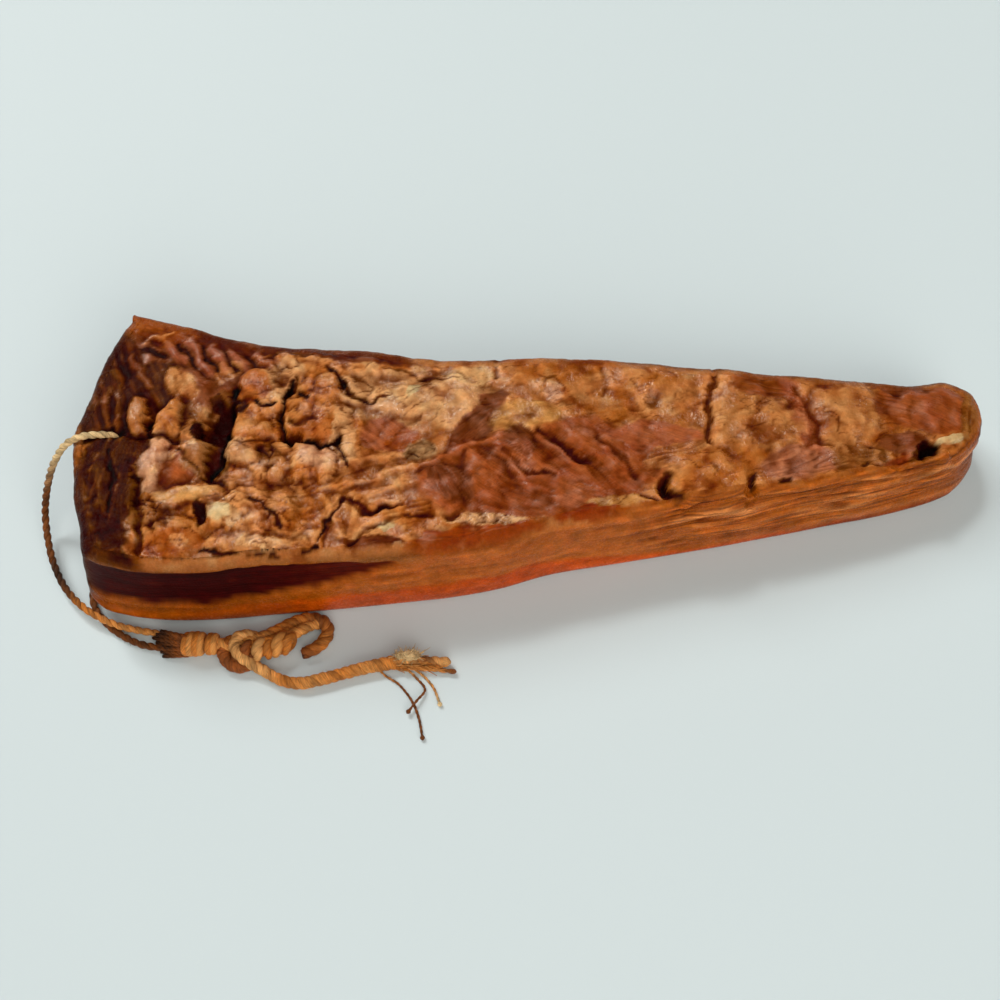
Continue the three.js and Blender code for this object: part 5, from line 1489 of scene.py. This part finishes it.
class Graph:
    """The node tree of a material or of the world, with a short call for each kind of node."""

    def __init__(self, owner):
        owner.use_nodes = True
        self.owner = owner
        self.nodes = owner.node_tree.nodes
        self.links = owner.node_tree.links

    def feed(self, socket, value):
        """Gives a socket a number, a colour or another node's output."""
        if isinstance(value, (int, float, tuple)):
            socket.default_value = value
        else:
            self.links.new(value, socket)

    def add(self, kind, inputs=None, **settings):
        made = self.nodes.new(kind)
        for key, value in settings.items():
            setattr(made, key, value)
        for key, value in (inputs or {}).items():
            self.feed(made.inputs[key], value)
        return made

    def attribute(self, name):
        return self.add("ShaderNodeAttribute", attribute_name=name)

    def place(self):
        return self.add("ShaderNodeTexCoord").outputs["Object"]

    def stretched(self, vector, scale):
        return self.add("ShaderNodeMapping", {"Scale": scale, "Vector": vector}).outputs[0]

    def noise(self, vector, scale, detail=3.0, rough=0.55):
        inputs = {"Scale": scale, "Detail": detail, "Roughness": rough, "Vector": vector}
        return self.add("ShaderNodeTexNoise", inputs).outputs["Fac"]

    def remap(self, value, low, high, to_low, to_high):
        inputs = {"From Min": low, "From Max": high, "To Min": to_low, "To Max": to_high, "Value": value}
        return self.add("ShaderNodeMapRange", inputs).outputs["Result"]

    def calculate(self, operation, a, b=0.0):
        return self.add("ShaderNodeMath", {0: a, 1: b}, operation=operation).outputs[0]

    def plus(self, a, b):
        return self.calculate("ADD", a, b)

    def minus(self, a, b):
        return self.calculate("SUBTRACT", a, b)

    def times(self, a, b):
        return self.calculate("MULTIPLY", a, b)

    def blend(self, mode, factor, a, b):
        inputs = {0: factor, 6: a, 7: b}
        return self.add("ShaderNodeMix", inputs, data_type="RGBA", blend_type=mode).outputs[2]

    def tinted(self, colour, tone):
        return self.blend("MULTIPLY", 1.0, colour, tone)

    def bump(self, height, strength, distance):
        inputs = {"Strength": strength, "Distance": distance, "Height": height}
        return self.add("ShaderNodeBump", inputs).outputs[0]


def finished(graph, inputs):
    """The material, once its shader has its inputs."""
    for key, value in inputs.items():
        graph.feed(graph.nodes["Principled BSDF"].inputs[key], value)
    return graph.owner


def meat_material():
    """One material for fat, lean and rind. The mesh says which is where."""
    graph = Graph(bpy.data.materials.new("smoked_meat"))
    paint = graph.attribute("paint").outputs["Color"]
    finish = graph.attribute("finish")
    parts = graph.add("ShaderNodeSeparateColor", {0: finish.outputs["Color"]})
    lean, wet, rind = parts.outputs[0], parts.outputs[1], parts.outputs[2]
    strung = finish.outputs["Alpha"]
    place = graph.place()
    grain = graph.attribute("grain").outputs["Vector"]
    fibres = graph.noise(graph.stretched(grain, (0.12, 1.0, 1.0)), 1.6)
    threads = graph.noise(graph.stretched(grain, (0.035, 0.75, 1.0)), 1.0, 4, 0.6)
    speck = graph.noise(place, 700, 4, 0.65)
    cloud = graph.noise(place, 190)
    pebble = graph.noise(place, 1100, 4, 0.6)
    crinkle = graph.calculate("ABSOLUTE", graph.minus(graph.noise(place, 330, 5, 0.55), 0.5))

    colour = graph.tinted(paint, graph.remap(speck, 0.3, 0.7, 0.85, 1.14))
    warm = graph.tinted(colour, (1.12, 0.9, 0.72, 1))
    colour = graph.blend("MIX", graph.remap(cloud, 0.4, 0.65, 0, 0.6), colour, warm)
    streaked = graph.tinted(colour, graph.remap(fibres, 0.3, 0.7, 0.84, 1.16))
    colour = graph.blend("MIX", lean, colour, streaked)
    threaded = graph.tinted(colour, graph.remap(threads, 0.34, 0.66, 0.42, 1.55))
    colour = graph.blend("MIX", strung, colour, threaded)

    rough = graph.minus(graph.remap(speck, 0.3, 0.7, 0.17, 0.36), graph.times(wet, 0.08))
    height = graph.plus(graph.times(pebble, graph.minus(1.0, rind)), graph.times(fibres, lean))
    height = graph.plus(height, graph.times(graph.times(threads, 3.0), strung))
    fat = graph.minus(1.0, graph.calculate("MAXIMUM", lean, rind))
    height = graph.plus(height, graph.times(graph.times(crinkle, 7.0), fat))
    return finished(graph, {
        "Base Color": colour,
        "Roughness": graph.plus(rough, graph.times(lean, 0.12)),
        "Normal": graph.bump(height, 0.4, 0.0005),
        "Specular IOR Level": graph.remap(wet, 0, 1, 0.03, 0.9),
        "Specular Tint": (1, 0.9, 0.76, 1),
    })


def twine_material():
    graph = Graph(bpy.data.materials.new("twine"))
    grain = graph.attribute("grain").outputs["Vector"]
    fibres = graph.noise(graph.stretched(grain, (4.2, 4.2, 0.35)), 1.0)
    stain = graph.remap(graph.noise(graph.place(), 260), 0.3, 0.7, 0.72, 1.2)
    stained = graph.tinted(graph.attribute("paint").outputs["Color"], stain)
    return finished(graph, {
        "Base Color": graph.tinted(stained, graph.remap(fibres, 0.32, 0.68, 0.5, 1.42)),
        "Roughness": 0.5,
        "Normal": graph.bump(fibres, 1, 0.00035),
        "Specular IOR Level": 0.22,
        "Specular Tint": (1, 0.85, 0.7, 1),
    })


def floor_material():
    graph = Graph(bpy.data.materials.new("floor"))
    return finished(graph, {"Base Color": (0.6, 0.68, 0.69, 1), "Roughness": 0.6})


# Floor and light

floor_reach = 2500
# Lamps: direction to the lamp, its width in degrees, power and colour.
suns = {
    "window": ((-0.55, 0.62, 0.75), 28, 1.45, (0.97, 1.0, 1.0)),
    "glint": ((-0.24, 0.58, 0.8), 8, 0.75, (0.98, 1.0, 1.0)),
    "ceiling": ((0.2, -0.45, 0.85), 70, 1.15, (1.0, 0.95, 0.9)),
    "fill": ((0.35, -0.85, 0.5), 50, 1.1, (1.0, 0.94, 0.88)),
}


def add_floor():
    points = [(x * floor_reach, y * floor_reach, 0) for x, y in ((-1, -1), (1, -1), (1, 1), (-1, 1))]
    floor = mesh_object("floor", points, [(0, 1, 2, 3)])
    floor.data.materials.append(floor_material())


def add_sun(name, direction, spread, power, colour):
    data = bpy.data.lights.new(name, "SUN")
    data.angle = math.radians(spread)
    data.energy = power
    data.color = colour
    light = bpy.data.objects.new(name, data)
    light.rotation_euler = (-Vector(direction)).to_track_quat("-Z", "Y").to_euler()
    bpy.context.scene.collection.objects.link(light)


def add_sky():
    """The room's light: brighter at eye level than overhead."""
    world = bpy.data.worlds.new("sky")
    graph = Graph(world)
    way = graph.add("ShaderNodeTexCoord").outputs["Generated"]
    up = graph.add("ShaderNodeSeparateXYZ", {0: way}).outputs["Z"]
    background = graph.nodes["Background"]
    graph.feed(background.inputs[0], (1, 0.98, 0.95, 1))
    graph.feed(background.inputs[1], graph.remap(up, 0.0, 0.5, 0.7, 0.08))
    bpy.context.scene.world = world
    bpy.context.scene.view_settings.view_transform = "Standard"


add_camera()
make_string(twine_material())
make_slab(meat_material())
add_floor()
for name, sun in suns.items():
    add_sun(name, *sun)
add_sky()
